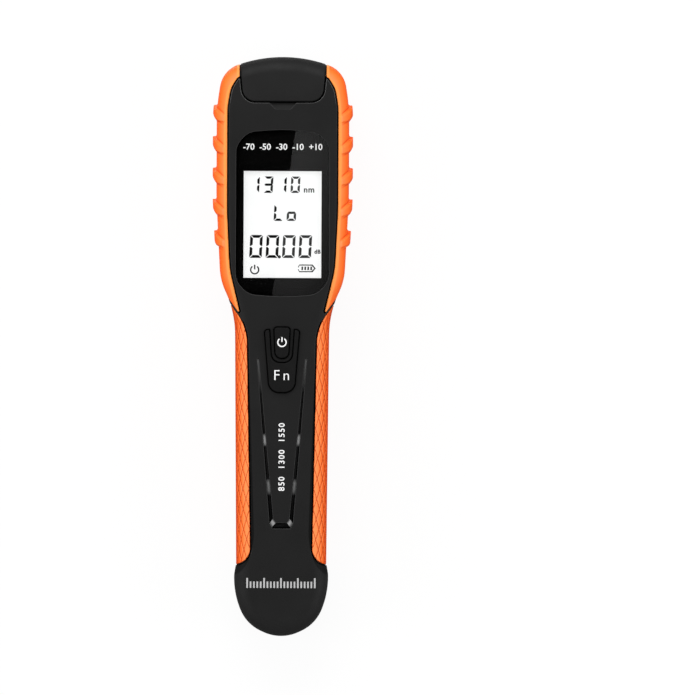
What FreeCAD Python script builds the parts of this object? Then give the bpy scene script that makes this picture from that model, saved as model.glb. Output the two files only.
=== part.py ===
"""Handheld optical power meter with a flip cap over its fibre port.

Frame: the meter lies on its back. +X is to the right of its face, +Y points to
the flip cap and +Z comes out of the face. The origin is at mid-length, on the
flat back. All sizes are millimetres.
"""
import FreeCAD, Part
import math
import os

Vector = FreeCAD.Vector
X_AXIS = Vector(1, 0, 0)
Y_AXIS = Vector(0, 1, 0)
Z_AXIS = Vector(0, 0, 1)

# ---------------------------------------------------------------- overall form
overall_length = 180.0
head_width = 41.2            # over the bumpers, between their ribs
head_depth = 27.0
handle_width = 29.2          # where the handle leaves the head
handle_end_width = 28.0      # at the lower end of the grips
handle_end_depth = 25.0
front_edge_radius = 5.0
rear_edge_radius = 4.0
crown_radius = 41.6          # curve of the cap's top, seen from the face
crown_angle = 19.2           # where the crown turns into the shoulders, degrees
shoulder_radius = 8.5
shoulder_inset = 1.8         # the shoulders' corner, inside the head's widest part
shoulder_drop = 15.5         # where the head reaches its full width, from the top end
head_straight_drop = 44.0    # where it starts to narrow again
head_taper_drop = 69.5
head_taper_inset = 1.33
waist_drop = 79.3            # where the head has run into the handle
waist_play = 0.07            # the corner there, outside the handle's width
grip_foot_rise = 22.7        # lower end of the grips' straight side, from the heel's end
heel_step_rise = 19.1
heel_step = 0.62             # the heel is this much wider than the handle, each side
heel_side_rise = 13.6
heel_turn_rise = 3.8
heel_turn_inset = 2.97
heel_turn_angle = 25.0       # half of the arc that ends the heel, degrees
heel_radius = 13.0           # round lower end of the handle
end_droop = 5.0              # fall of both faces towards the two ends
face_slope_drop = 78.0       # the front face slopes from here, from the top end ...
face_slope_rise = 30.0       # ... down to here, from the heel's end
parting_height = 13.5        # where the two covers meet
join_width = 0.05            # the smallest gap kept between loose pieces

# ------------------------------------------------------------------ shell walls
pad_depth = 1.6              # depth of the seats for the bumpers and grips
shell_wall = 1.8             # side wall behind those seats
face_wall = 2.2              # front and rear walls
top_wall = 3.0               # end wall below the flip cap
pad_gap = 0.5                # groove round each soft pad
pad_joint_drop = 75.4        # slanting end of the bumpers, from the top end
pad_joint_height = 0.85      # from there to the grips, along the meter
pad_joint_slope = 1.379
pad_joint_half = 16.5        # distance from the middle where those drops are measured

# --------------------------------------------------------------- bumpers, grips
face_width = 34.5            # between the bumpers, across the face
bumper_end_half = 13.5       # the bumpers stop beside the cap
bumper_tip_inset = 4.25      # their lower tips, inside that width
rib_count = 5
rib_pitch = 9.75
rib_height = 1.2
rib_length = 2.6
rib_sweep = 3.0              # how far a rib bends down towards the faces
rib_edge_strip = 1.1         # smooth strip inside the ribs
rib_fade = 1.5               # rounder edge of the ribs, so that they fade on the faces
rib_face_rise = 0.35         # height of the ribs on the faces
rib_face_length = 2.4
rib_lean = 0.8               # how much lower a rib's inner end lies
rib_bend = 7.0               # distance from each face where a rib starts to bend
rib_margin = 2.0             # overlap of the bands with the outside
first_rib_drop = 14.9        # from the top end
grip_top_width = 21.9        # between the grips, at their upper end
grip_end_width = 19.1        # between the grips, at their lower end
grip_end_rise = 22.3         # from the lower end of the handle

# -------------------------------------------------------------------- flip cap
cap_height = 13.85           # from the crown to its front lower edge
cap_base_half = 12.27        # half width at that edge
cap_flare = 0.097            # side slope of the cap, outwards going up
cap_corner_radius = 4.0
cap_draft = 0.03             # the cap narrows by this share of the depth, each side
cap_rim_radius = 0.45
cap_wall = 1.8
cap_gap = 0.5
cap_rear_raise = 1.65        # the rear wall's edge lies this much higher
cap_notch_width = 8.4        # thumb notch in the front cover
cap_notch_length = 2.0
cap_notch_depth = 1.6
cap_notch_taper = 1.9
cap_cavity_half = 10.0
cap_tongue_half = 5.35
tongue_gap = 0.3
tongue_wall = 1.6
hinge_drop = 17.8            # hinge axis, from the top end
hinge_barrel_radius = 2.0
hinge_pin_radius = 0.75
hinge_clearance = 0.05
hinge_pin_length = 15.0
hinge_cheek = 3.2            # wall beside the tongue
slot_clearance = 1.2         # below the hinge barrel
ledge_height = 4.6           # rear cover's ledge under the cap's rear wall
cap_rear_step = 7.0          # the cap's sides are shorter below this height

# ----------------------------------------------------------- fibre port, socket
panel_half = 9.6
panel_bottom = 6.1
panel_top = 22.0
panel_rise = 3.35            # above the covers' end wall
panel_flange = 1.5
panel_flange_length = 2.6
port_x = -3.8
port_z = 13.2
port_radius = 4.0
port_rise = 7.6              # barrel above the panel
port_bore_radius = 2.9
port_bore_depth = 3.4
port_flange = 10.4
port_flange_depth = 1.6
port_screw_inset = 1.0       # screw centre to the flange's edges
port_screw_radius = 0.6
port_screw_grip = 3.2        # length in the panel
port_screw_head_radius = 0.9
port_screw_head_height = 0.8
key_slot_width = 2.1
key_slot_depth = 2.6
sleeve_radius = 1.9
ferrule_bore_radius = 1.26
sleeve_length = 12.0
sleeve_setback = 0.7
detector_radius = 2.35
detector_length = 3.4
detector_cap_radius = 2.75
detector_cap_length = 0.6
socket_x = 5.6
socket_width = 2.9
socket_height = 8.2
socket_wall = 0.35
socket_length = 7.4
socket_tongue = 0.7
seal_radius = 5.2
seal_clearance = 0.3

# ------------------------------------------------------------------- front face
window_width = 28.8
window_length = 52.0
window_drop = 22.6           # from the top end
window_depth = 1.2
window_gap = 0.1
window_heading = 12.2        # from the window's upper edge to the display opening
window_foot = 5.2
window_side = 1.6
key_gap = 0.25
key_rise = 0.9               # above the face
key_travel = 0.4
key_flange = 0.45
key_flange_depth = 1.1
key_bottom_clearance = 0.35  # flange to the inside of the front wall
key_rim_radius = 0.3
power_key_half = 2.43
power_key_top_drop = 84.05
power_key_length = 9.55
fn_key_half = 5.3
fn_key_top_drop = 84.8
fn_key_length = 19.4
fn_inner_half = 3.85
fn_inner_drop = 95.1         # lowest point of the inner wall
line_depth = 0.9
line_top_drop = 93.6
line_bottom_drop = 144.2
line_top_half = 7.5
line_bottom_half = 3.1
line_top_width = 0.5
line_bottom_width = 1.1
line_corner = 0.6            # slant of the grooves' lower corners
line_bar_half = 2.2
line_bar_width = 1.75

# -------------------------------------------------------------------- rear face
label_width = 24.8
label_length = 16.3
label_drop = 28.3
label_corner = 1.2
label_cut = 3.1
label_depth = 0.6
label_thickness = 0.5
label_gap = 0.1
frame_width = 26.8
frame_length = 7.2
frame_drop = 54.5
frame_line = 0.35
frame_depth = 0.3
screw_head_radius = 1.9
screw_head_height = 1.5
screw_shank_radius = 1.1
screw_length = 12.0
screw_well_radius = 2.15
screw_well_depth = 4.0
screw_boss_radius = 3.4
screw_boss_gap = 0.02
top_screw_half = 13.6
top_screw_drop = 16.1
neck_screw_drop = 76.0
heel_screw_rise = 15.1

# ------------------------------------------------------------------ electronics
board_thickness = 1.6
board_height = 16.2
board_gap = 0.6
board_end_gap = 2.05         # to the port panel's flange
board_bottom_drop = 108.0
board_boss_gap = 0.4
board_post_radius = 2.2
board_screw_half = 12.0
board_lower_screw_half = 8.0
board_screw_inset = 4.0
board_screw_radius = 0.8
board_screw_hole_radius = 0.9
board_screw_grip = 5.5
board_screw_head_radius = 1.6
board_screw_head_height = 1.2
lcd_glass_thickness = 2.4
lcd_head_border = 3.2        # of the glass, beyond the display opening
lcd_foot_border = 2.2
lcd_side_border = 1.0
lcd_frame_wall = 0.9
lcd_frame_gap = 0.05
lcd_frame_drop = 0.2         # below the face of the glass
battery_radius = 7.0
battery_length = 50.0
battery_rise = 20.6          # its lower end above the end of the handle
battery_tip_radius = 2.6
battery_tip_length = 1.0
battery_lift = 0.2           # above the rear wall
cradle_wall = 1.6
cradle_gap = 0.1             # from the cell's end to the first rib
switch_width = 4.5
switch_height = 3.4
switch_gap = 0.12            # left under a key that is pressed
fn_switch_rise = 4.6         # above the lower end of the function key
plunger_radius = 1.2

# ------------------------------------------------------------- derived stations
top_y = overall_length / 2
bottom_y = -overall_length / 2
head_half = head_width / 2
handle_half = handle_width / 2
handle_end_half = handle_end_width / 2
face_half = face_width / 2
far = overall_length         # long enough to pass right through the meter
hinge_y = top_y - hinge_drop
hinge_z = hinge_barrel_radius
cap_edge_y = top_y - cap_height
cap_rear_y = cap_edge_y + cap_rear_raise
end_wall_y = cap_edge_y - cap_gap
ledge_y = cap_rear_y - cap_gap
hollow_top_y = end_wall_y - top_wall
slot_bottom_y = hinge_y - hinge_barrel_radius - slot_clearance
panel_y = end_wall_y + panel_rise
port_y = panel_y + port_rise
window_top_y = top_y - window_drop
lcd_opening_top = window_top_y - window_heading
lcd_opening_length = window_length - window_heading - window_foot
lcd_opening_width = window_width - 2 * window_side
lcd_top = lcd_opening_top + lcd_head_border
lcd_length = lcd_opening_length + lcd_head_border + lcd_foot_border
lcd_width = lcd_opening_width + 2 * lcd_side_border
board_top_y = hollow_top_y - panel_flange_length - board_end_gap
board_bottom_y = top_y - board_bottom_drop
rib_top_y = top_y - first_rib_drop
board_top_z = board_height + board_thickness
battery_z = face_wall + battery_radius + battery_lift
screw_places = [
    (-top_screw_half, top_y - top_screw_drop),
    (top_screw_half, top_y - top_screw_drop),
    (0.0, top_y - neck_screw_drop),
    (0.0, bottom_y + heel_screw_rise),
]


# -------------------------------------------------------------- drawing helpers
def rounded_wire(corners, inset=0.0):
    """Closed outline in XY with tangent arcs at its corners, moved inwards by inset.

    Each corner is (x, y, radius); the corners run clockwise.
    """
    count = len(corners)
    joints = []
    for index in range(count):
        before = Vector(corners[index - 1][0], corners[index - 1][1], 0)
        here = Vector(corners[index][0], corners[index][1], 0)
        after = Vector(corners[(index + 1) % count][0], corners[(index + 1) % count][1], 0)
        radius = corners[index][2]
        back = (before - here).normalize()
        ahead = (after - here).normalize()
        half_angle = back.getAngle(ahead) / 2
        inward = (back + ahead).normalize()
        convex = back.cross(ahead).z > 0
        side = 1 if convex else -1
        here = here + inward * (side * inset / math.sin(half_angle))
        if radius > 0:
            radius = max(radius - side * inset, 0.0)
        if radius < 1e-6:
            joints.append((here, None, here))
            continue
        run = radius / math.tan(half_angle)
        crest = here + inward * (radius / math.sin(half_angle) - radius)
        joints.append((here + back * run, crest, here + ahead * run))
    edges = []
    for index in range(count):
        start, crest, end = joints[index]
        following = joints[(index + 1) % count][0]
        if crest is not None:
            edges.append(Part.Arc(start, crest, end).toShape())
        if (following - end).Length > 1e-6:
            edges.append(Part.LineSegment(end, following).toShape())
    return Part.Wire(edges)


def mirrored(right_half):
    """Corners of a whole outline from its right half, listed from top to bottom."""
    left_half = [(-x, y, radius) for x, y, radius in reversed(right_half) if x != 0]
    return right_half + left_half


def prism(wire, bottom, top):
    """Upright solid over an outline in XY."""
    solid = Part.Face(wire).extrude(Vector(0, 0, top - bottom))
    solid.translate(Vector(0, 0, bottom))
    return solid


def cross_prism(wire, left, right):
    """Solid across the meter; the outline's x, y become Y, Z."""
    solid = Part.Face(wire).extrude(Vector(0, 0, right - left))
    solid.Placement = FreeCAD.Placement(
        Vector(left, 0, 0), FreeCAD.Rotation(Vector(1, 1, 1), 120))
    return solid


def box(x_range, y_range, z_range):
    """Box between two values on each axis."""
    corner = Vector(x_range[0], y_range[0], z_range[0])
    return Part.makeBox(
        x_range[1] - x_range[0], y_range[1] - y_range[0], z_range[1] - z_range[0], corner)


def along_y(radius, x, z, start, end):
    """Cylinder along Y."""
    return Part.makeCylinder(radius, end - start, Vector(x, start, z), Y_AXIS)


def along_z(radius, x, y, start, end):
    """Cylinder along Z."""
    return Part.makeCylinder(radius, end - start, Vector(x, y, start), Z_AXIS)


def mirror_x(solid):
    """The same piece for the left side."""
    return solid.mirror(Vector(0, 0, 0), X_AXIS)


def joined(solids):
    """One solid from several that meet."""
    whole = solids[0].multiFuse(solids[1:]) if len(solids) > 1 else solids[0]
    return whole.removeSplitter()


# -------------------------------------------------------------- the meter's form
def body_outline():
    """Corners of the silhouette seen from the face, right half."""
    slope = math.tan(math.radians(crown_angle))
    apex = top_y + crown_radius * (1 / math.cos(math.radians(crown_angle)) - 1)
    shoulder_x = head_half - shoulder_inset
    heel_y = bottom_y - heel_radius * (1 / math.cos(math.radians(heel_turn_angle)) - 1)
    return [
        (0, apex, crown_radius),
        (shoulder_x, apex - shoulder_x * slope, shoulder_radius),
        (head_half, top_y - shoulder_drop, 60),
        (head_half, top_y - head_straight_drop, 120),
        (head_half - head_taper_inset, top_y - head_taper_drop, 19),
        (handle_half + waist_play, top_y - waist_drop, 32),
        (handle_end_half, bottom_y + grip_foot_rise, 6),
        (handle_end_half + heel_step, bottom_y + heel_step_rise, 8),
        (handle_end_half + heel_step, bottom_y + heel_side_rise, 26),
        (handle_end_half - heel_turn_inset, bottom_y + heel_turn_rise, 12.5),
        (0, heel_y, heel_radius),
    ]


def side_outline():
    """Corners of the side view as (Y, Z), clockwise: front face, then back."""
    return [
        (-far, handle_end_depth - end_droop, 0),
        (bottom_y + face_slope_rise, handle_end_depth, 200),
        (top_y - face_slope_drop, head_depth, 300),
        (top_y - 14.0, head_depth, 120),
        (far, head_depth - end_droop, 0),
        (far, end_droop, 0),
        (top_y - 10.0, 0, 60),
        (bottom_y + 14.0, 0, 60),
        (-far, end_droop, 0),
    ]


def round_edges(body, plan_wire, radius, heights):
    """Round the edges where the faces meet the side wall, within a height range."""
    edges = []
    for edge in body.Edges:
        middle = edge.valueAt((edge.FirstParameter + edge.LastParameter) / 2)
        if not heights[0] < middle.z < heights[1]:
            continue
        start = edge.Vertexes[0].Point
        end = edge.Vertexes[-1].Point
        upright = math.hypot(end.x - start.x, end.y - start.y) < 1e-4
        foot = Part.Vertex(Vector(middle.x, middle.y, 0))
        if not upright and plan_wire.distToShape(foot)[0] < 1e-3:
            edges.append(edge)
    return body.makeFillet(radius, edges)


def round_rim(body, cutters, radius, lowest):
    """Round the rims that cutters' side walls have left, above a height."""
    edges = []
    for edge in body.Edges:
        span = edge.LastParameter - edge.FirstParameter
        points = [edge.valueAt(edge.FirstParameter + share * span) for share in (0.0, 0.5, 1.0)]
        rise = abs(points[2].z - points[0].z)
        if min(point.z for point in points) < lowest or 2 * rise > (points[2] - points[0]).Length:
            continue
        for cutter in cutters:
            walls = cutter.Shells[0]
            if all(walls.distToShape(Part.Vertex(point))[0] < 1e-4 for point in points):
                edges.append(edge)
    return body.makeFillet(radius, edges)


def pillow(side_inset, face_inset, rounding):
    """The meter's outer form as one solid, moved inwards and with rounder edges."""
    plan_wire = rounded_wire(mirrored(body_outline()), side_inset)
    plan = prism(plan_wire, -head_depth, 2 * head_depth)
    body = plan.common(cross_prism(rounded_wire(side_outline(), face_inset), -far, far))
    front_radius = front_edge_radius + rounding
    rear_radius = rear_edge_radius + rounding
    body = round_edges(body, plan_wire, front_radius, (parting_height, far))
    return round_edges(body, plan_wire, rear_radius, (-far, parting_height / 2))


def envelope(inset):
    """The outer form moved inwards by the same amount everywhere."""
    return pillow(inset, inset, -inset)


def inner_block():
    """Space that bosses and frames may fill without reaching the outside."""
    plan = prism(rounded_wire(mirrored(body_outline()), pad_depth + join_width),
                 -head_depth, 2 * head_depth)
    return plan.common(cross_prism(rounded_wire(side_outline(), face_wall / 2), -far, far))


def hollow():
    """The space inside the covers."""
    plan_wire = rounded_wire(mirrored(body_outline()), pad_depth + shell_wall)
    plan = prism(plan_wire, -head_depth, 2 * head_depth)
    space = plan.common(cross_prism(rounded_wire(side_outline(), face_wall), -far, far))
    return space.cut(box((-far, far), (hollow_top_y, far), (-far, far)))


def slant_y(x, drop):
    """Slanting line between a bumper and the grip below it, at a drop from the top."""
    return top_y - drop + (x - pad_joint_half) * pad_joint_slope


def bumper_zone(inset=0.0):
    """Area of the right bumper seen from the face."""
    reach = head_width
    tip = face_half - bumper_tip_inset
    corners = [
        (bumper_end_half, top_y + reach, 0),
        (reach, top_y + reach, 0),
        (reach, slant_y(reach, pad_joint_drop), 0),
        (tip, slant_y(tip, pad_joint_drop), 0.25),
        (face_half - 0.85, top_y - 66.0, 30),
        (face_half, top_y - 48.0, 80),
        (face_half, top_y - 15.5, 25),
        (face_half - 1.0, top_y - 9.8, 8),
        (face_half - 3.1, top_y - 6.5, 1.0),
        (bumper_end_half, top_y - 6.3, 0.3),
    ]
    return rounded_wire(corners, inset)


def grip_zone(inset=0.0):
    """Area of the right grip seen from the face."""
    top_half = grip_top_width / 2
    end_half = grip_end_width / 2
    grip_end_y = bottom_y + grip_end_rise
    reach = head_width
    start_drop = pad_joint_drop + pad_joint_height
    corners = [
        (reach, slant_y(reach, start_drop), 0),
        (reach, grip_end_y, 0),
        (end_half, grip_end_y, 5),
        (top_half, slant_y(top_half, start_drop), 16),
    ]
    return rounded_wire(corners, inset)


def pad_ridge():
    """Area of the fine ridge that the covers raise between a bumper and its grip."""
    start = face_half - bumper_tip_inset - 2 * pad_gap
    reach = head_width
    play = join_width * math.hypot(1, pad_joint_slope)
    upper = pad_joint_drop + play
    lower = pad_joint_drop + pad_joint_height - play
    return rounded_wire([
        (start, slant_y(start, upper), 0),
        (reach, slant_y(reach, upper), 0),
        (reach, slant_y(reach, lower), 0),
        (start, slant_y(start, lower), 0),
    ])


def cap_wedge(inset=0.0):
    """Solid inside the cap's outline, narrower towards the back; it runs past the crown."""
    reach = 2 * cap_height
    wires = []
    for height in (-rear_edge_radius, head_depth + front_edge_radius):
        half = cap_base_half - cap_draft * (head_depth - height)
        top_half = half + cap_flare * reach
        wire = rounded_wire([
            (top_half, cap_edge_y + reach, 0),
            (half, cap_edge_y, cap_corner_radius),
            (-half, cap_edge_y, cap_corner_radius),
            (-top_half, cap_edge_y + reach, 0),
        ], inset)
        wire.translate(Vector(0, 0, height))
        wires.append(wire)
    return Part.makeLoft(wires, True, True)


def window_corners():
    """Corners of the display window, right half."""
    half = window_width / 2
    bottom = window_top_y - window_length
    middle = [
        (0, window_top_y, 60),
        (half - 3.8, window_top_y - 0.9, 6),
        (half, window_top_y - 5.0, 6),
    ]
    lower = [(x, bottom + (window_top_y - y), radius) for x, y, radius in reversed(middle)]
    return middle + lower


def power_key_corners():
    """Corners of the power key's outline."""
    top = top_y - power_key_top_drop
    return mirrored([
        (power_key_half, top, 0.8),
        (power_key_half - 0.43, top - power_key_length, 1.9),
    ])


def fn_key_corners():
    """Corners of the function key's outer outline."""
    top = top_y - fn_key_top_drop
    return mirrored([
        (fn_key_half + 0.08, top, 0.9),
        (fn_key_half - 1.5, top - fn_key_length, 3.2),
    ])


def fn_inner_corners():
    """Corners of the opening in the function key, which is open at its top."""
    bottom = top_y - fn_inner_drop
    return mirrored([
        (fn_inner_half + 0.45, bottom + 16.0, 0),
        (fn_inner_half - 0.57, bottom, 3.0),
    ])


def face_lines():
    """Outline of the two long grooves on the handle and the bar that joins them."""
    top = top_y - line_top_drop
    bottom = top_y - line_bottom_drop
    foot = bottom - line_corner - line_bar_width
    right = [
        (line_top_half + line_top_width / 2, top, 0),
        (line_bottom_half + line_bottom_width / 2, bottom - line_corner, 0),
        (line_bar_half + line_corner, foot, 0),
    ]
    inner = [
        (line_bar_half - line_corner, foot + line_bar_width, 0),
        (line_bottom_half - line_bottom_width / 2, bottom + line_corner, 0),
        (line_top_half - line_top_width / 2, top, 0),
    ]
    left = [(-x, y, radius) for x, y, radius in reversed(right)]
    inner_left = [(-x, y, radius) for x, y, radius in reversed(inner)]
    return right + left + inner_left + inner


# ---------------------------------------------------------------- shared spaces
def cap_pocket():
    """Room for the flip cap in the covers; the rear ledge under the cap stays."""
    return cap_wedge(-cap_gap).cut(box((-far, far), (-far, ledge_y), (-far, ledge_height)))


def pad_seats():
    """Material that the covers lack under the bumpers and grips."""
    low, high = -head_depth, 2 * head_depth
    zones = prism(bumper_zone(-pad_gap), low, high).fuse(prism(grip_zone(-pad_gap), low, high))
    zones = zones.cut(prism(pad_ridge(), low, high))
    return zones.fuse(mirror_x(zones)).cut(envelope(pad_depth))


def covers_together():
    """Both covers as one shell, before anything is added inside."""
    shell = envelope(0).cut(pad_seats())
    return shell.cut(hollow()).cut(cap_pocket())


def engraving(wire, depth):
    """Cutter that follows the outer form at a depth, within a flat outline."""
    return prism(wire, -head_depth, 2 * head_depth).cut(envelope(depth))


def panel_opening():
    """Hole for the port panel in the covers' end wall."""
    return box((-panel_half - join_width, panel_half + join_width),
               (hollow_top_y - 1, end_wall_y + 1),
               (panel_bottom, panel_top + join_width))


def battery_cylinder(clearance=0.0):
    """The cell's round body."""
    start = bottom_y + battery_rise
    return along_y(battery_radius + clearance, 0, battery_z,
                   start - clearance, start + battery_length + clearance)


def cradle_ribs(bottom, top):
    """Cross ribs round the cell, between two heights, trimmed to the covers."""
    start = bottom_y + battery_rise
    stations = [start - cradle_wall - cradle_gap]
    stations += [start + battery_length * share for share in (0.2, 0.5, 0.8)]
    ribs = []
    for station in stations:
        ribs.append(box((-far, far), (station, station + cradle_wall), (bottom, top)))
    whole = ribs[0].multiFuse(ribs[1:]).common(hollow())
    return whole.cut(battery_cylinder(join_width))


def board_screw_places():
    """Where the board is screwed to its posts."""
    upper = (lcd_top + lcd_frame_wall + board_top_y) / 2
    lower = board_bottom_y + board_screw_inset
    places = []
    for half, y in ((board_screw_half, upper), (board_lower_screw_half, lower)):
        places += [(-half, y), (half, y)]
    return places


# ----------------------------------------------------------------------- covers
def front_cover(shell):
    """Upper shell with the window recess, key openings and face grooves."""
    cover = shell.common(box((-far, far), (-far, far), (parting_height, far)))
    bosses = []
    for x, y in screw_places:
        boss = along_z(screw_boss_radius, x, y, parting_height, head_depth)
        bosses.append(boss.common(inner_block()))
    cover = joined([cover, cradle_ribs(parting_height, far)] + bosses)

    recess_floor = head_depth - window_depth
    window = rounded_wire(mirrored(window_corners()), -window_gap)
    cover = cover.cut(prism(window, recess_floor, far))
    half = lcd_opening_width / 2
    cover = cover.cut(box((-half, half), (lcd_opening_top - lcd_opening_length, lcd_opening_top),
                          (board_top_z, far)))

    wide_fn = prism(rounded_wire(fn_key_corners(), -key_gap), head_depth / 2, far)
    narrow_fn = prism(rounded_wire(fn_inner_corners(), key_gap), 0, far)
    cover = cover.cut(wide_fn.cut(narrow_fn))
    cover = cover.cut(prism(rounded_wire(power_key_corners(), -key_gap), head_depth / 2, far))

    cover = cover.cut(engraving(rounded_wire(face_lines()), line_depth))
    cover = cover.cut(thumb_notch())
    cover = cover.cut(panel_opening())
    for x, y in screw_places:
        cover = cover.cut(along_z(screw_shank_radius, x, y, 0, screw_well_depth + screw_length))
    return cover


def thumb_notch():
    """Scoop in the front cover for a thumb below the cap, deepest at the cap."""
    half = cap_notch_width / 2
    end_y = end_wall_y - cap_notch_length
    wire = rounded_wire(mirrored([
        (half, end_wall_y + cap_gap, 0),
        (half, end_wall_y, 0.3),
        (half - cap_notch_taper, end_y, 1.4),
    ]))
    slope = rounded_wire([
        (end_y, head_depth, 0),
        (end_y, far, 0),
        (end_wall_y + cap_gap, far, 0),
        (end_wall_y + cap_gap, head_depth - cap_notch_depth, 0),
    ])
    return prism(wire, 0, far).common(cross_prism(slope, -half, half))


def rear_cover(shell):
    """Lower shell with the hinge slot, screw wells, board posts and cell cradle."""
    cover = shell.common(box((-far, far), (-far, far), (-far, parting_height)))
    added = [hinge_block(), cradle_ribs(0, face_wall + battery_radius)]
    for x, y in screw_places:
        boss = along_z(screw_boss_radius, x, y, face_wall / 2, parting_height - screw_boss_gap)
        added.append(boss.common(inner_block()))
    for x, y in board_screw_places():
        added.append(along_z(board_post_radius, x, y, face_wall / 2, board_height))
    cover = joined([cover] + added)

    slot_half = cap_tongue_half + tongue_gap
    slot_top = hinge_z + hinge_barrel_radius + 0.4
    cover = cover.cut(box((-slot_half, slot_half), (slot_bottom_y, far), (-far, slot_top)))
    cover = cover.cut(box((-slot_half, slot_half), (end_wall_y, far), (-far, ledge_height + 1)))
    cover = cover.cut(hinge_axle(hinge_pin_radius, hinge_pin_length))
    cover = cover.cut(panel_opening())

    for x, y in screw_places:
        cover = cover.cut(along_z(screw_well_radius, x, y, -far, screw_well_depth))
        cover = cover.cut(along_z(screw_shank_radius + 0.15, x, y, 0, far))
    for x, y in board_screw_places():
        cover = cover.cut(along_z(board_screw_radius, x, y, board_height - board_screw_grip, far))
    cover = cover.cut(prism(rounded_wire(label_corners(), -label_gap), -far, label_depth))
    return cover.cut(frame_groove())


def hinge_block():
    """Solid carrier for the cap's hinge inside the rear cover."""
    half = cap_tongue_half + tongue_gap + hinge_cheek
    return box((-half, half), (slot_bottom_y - shell_wall, hollow_top_y + 0.5),
               (face_wall / 2, panel_bottom))


def hinge_axle(radius, length):
    """Cylinder on the hinge axis."""
    return Part.makeCylinder(radius, length, Vector(-length / 2, hinge_y, hinge_z), X_AXIS)


def label_corners():
    """Corners of the rear label; one corner is cut off."""
    half = label_width / 2
    top = top_y - label_drop
    bottom = top - label_length
    return [
        (half, top, label_corner),
        (half, bottom, label_corner),
        (-half + label_cut, bottom, 0.3),
        (-half, bottom + label_cut, 0.3),
        (-half, top, label_corner),
    ]


def frame_groove():
    """Fine rectangular groove on the back."""
    half = frame_width / 2
    top = top_y - frame_drop
    corners = [(half, top, 0), (half, top - frame_length, 0),
               (-half, top - frame_length, 0), (-half, top, 0)]
    outer = prism(rounded_wire(corners), -1, frame_depth)
    return outer.cut(prism(rounded_wire(corners, frame_line), -2, head_depth))


def rear_label():
    """Thin plate set into the back."""
    return prism(rounded_wire(label_corners()), label_depth - label_thickness, label_depth)


# ------------------------------------------------------------------- soft parts
def rib_bands():
    """Bands that the five ribs of one bumper fill, bent down towards both faces."""
    bands = []
    for index in range(rib_count):
        top = rib_top_y - index * rib_pitch
        inner = rib_section(top - rib_lean, rib_length + rib_height - rib_lean,
                            face_half + rib_edge_strip)
        base = rib_section(top, rib_length + rib_height, head_half)
        crest = rib_section(top, rib_length, head_half + rib_height)
        bands.append(Part.makeLoft([inner, base], True, True))
        bands.append(Part.makeLoft([base, crest], True, True))
    return bands[0].multiFuse(bands[1:])


def rib_section(top, length, x):
    """A rib's outline in the plane at x, as a wire round its bent band."""
    growth = (rib_bend + rib_margin) / rib_bend
    reach = rib_sweep * growth
    taper = growth * (rib_length + rib_height - rib_face_length)
    heights = [-rib_margin, rib_bend, head_depth - rib_bend, head_depth + rib_margin]
    drops = [reach, 0, 0, reach]
    tapers = [taper, 0, 0, taper]
    upper = [Vector(x, top - drop, z) for drop, z in zip(drops, heights)]
    lower = [Vector(x, top - length - drop + narrowing, z)
             for drop, narrowing, z in zip(drops, tapers, heights)]
    return Part.makePolygon(upper + lower[::-1] + upper[:1])


def bumper():
    """Right-hand soft bumper: a wrap-round strip with ribs."""
    zone = prism(bumper_zone(), -head_depth, 2 * head_depth)
    strip = envelope(0).common(zone).cut(envelope(pad_depth))
    rib_form = pillow(-rib_height, -rib_face_rise, rib_fade)
    ribs = rib_bands().common(rib_form).cut(envelope(pad_depth / 2))
    return joined([strip, ribs])


def grip():
    """Right-hand soft grip along the handle."""
    zone = prism(grip_zone(), -head_depth, 2 * head_depth)
    return envelope(0).common(zone).cut(envelope(pad_depth))


# --------------------------------------------------------------------- flip cap
def flip_cap():
    """Hollow cap that swings back on a tongue at its rear edge."""
    wedge = cap_wedge()
    body = envelope(0).common(wedge)
    body = round_rim(body, [wedge], cap_rim_radius, head_depth - front_edge_radius)
    cavity = envelope(cap_wall).common(
        box((-cap_cavity_half, cap_cavity_half), (-far, far), (-far, far)))
    body = body.cut(cavity)
    body = body.cut(box((-far, far), (-far, cap_rear_y), (-far, cap_rear_step)))
    half = cap_tongue_half
    tongue = box((-half, half), (hinge_y, cap_rear_y + cap_wall), (0, tongue_wall))
    barrel = hinge_axle(hinge_barrel_radius, 2 * half)
    cap = joined([body, tongue, barrel])
    return cap.cut(hinge_axle(hinge_pin_radius + hinge_clearance, far))


def cap_seal():
    """Soft disc inside the cap that closes the fibre port."""
    disc = along_y(seal_radius, port_x, port_z, port_y + seal_clearance, far)
    return disc.common(envelope(cap_wall))


# ---------------------------------------------------------- fibre port and socket
def port_panel():
    """Moulded block in the end wall that holds the fibre port and the socket."""
    nose = box((-panel_half, panel_half), (hollow_top_y - panel_flange_length, panel_y),
               (panel_bottom, panel_top))
    side = panel_half + panel_flange
    flange = box((-side, side), (hollow_top_y - panel_flange_length, hollow_top_y),
                 (panel_bottom, panel_top + panel_flange))
    panel = joined([nose, flange])
    for x, y in screw_places[:2]:
        panel = panel.cut(along_z(screw_boss_radius + join_width, x, y, 0, far))
    panel = panel.cut(along_y(port_radius, port_x, port_z, 0, far))
    panel = panel.cut(prism_y(socket_corners(), panel_y - socket_length, far))
    for x, z in port_screw_places():
        panel = panel.cut(along_y(port_screw_radius, x, z, panel_y - port_screw_grip, far))
    return panel


def port_screw_places():
    """Where the port's square flange is screwed to the panel."""
    offset = port_flange / 2 - port_screw_inset
    return [(port_x - offset, port_z + offset), (port_x + offset, port_z - offset)]


def prism_y(corners, start, end):
    """Solid along Y over an outline whose x, y become X, Z."""
    solid = Part.Face(rounded_wire(corners)).extrude(Vector(0, 0, end - start))
    solid.Placement = FreeCAD.Placement(
        Vector(0, end, 0), FreeCAD.Rotation(X_AXIS, 90))
    return solid


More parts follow.
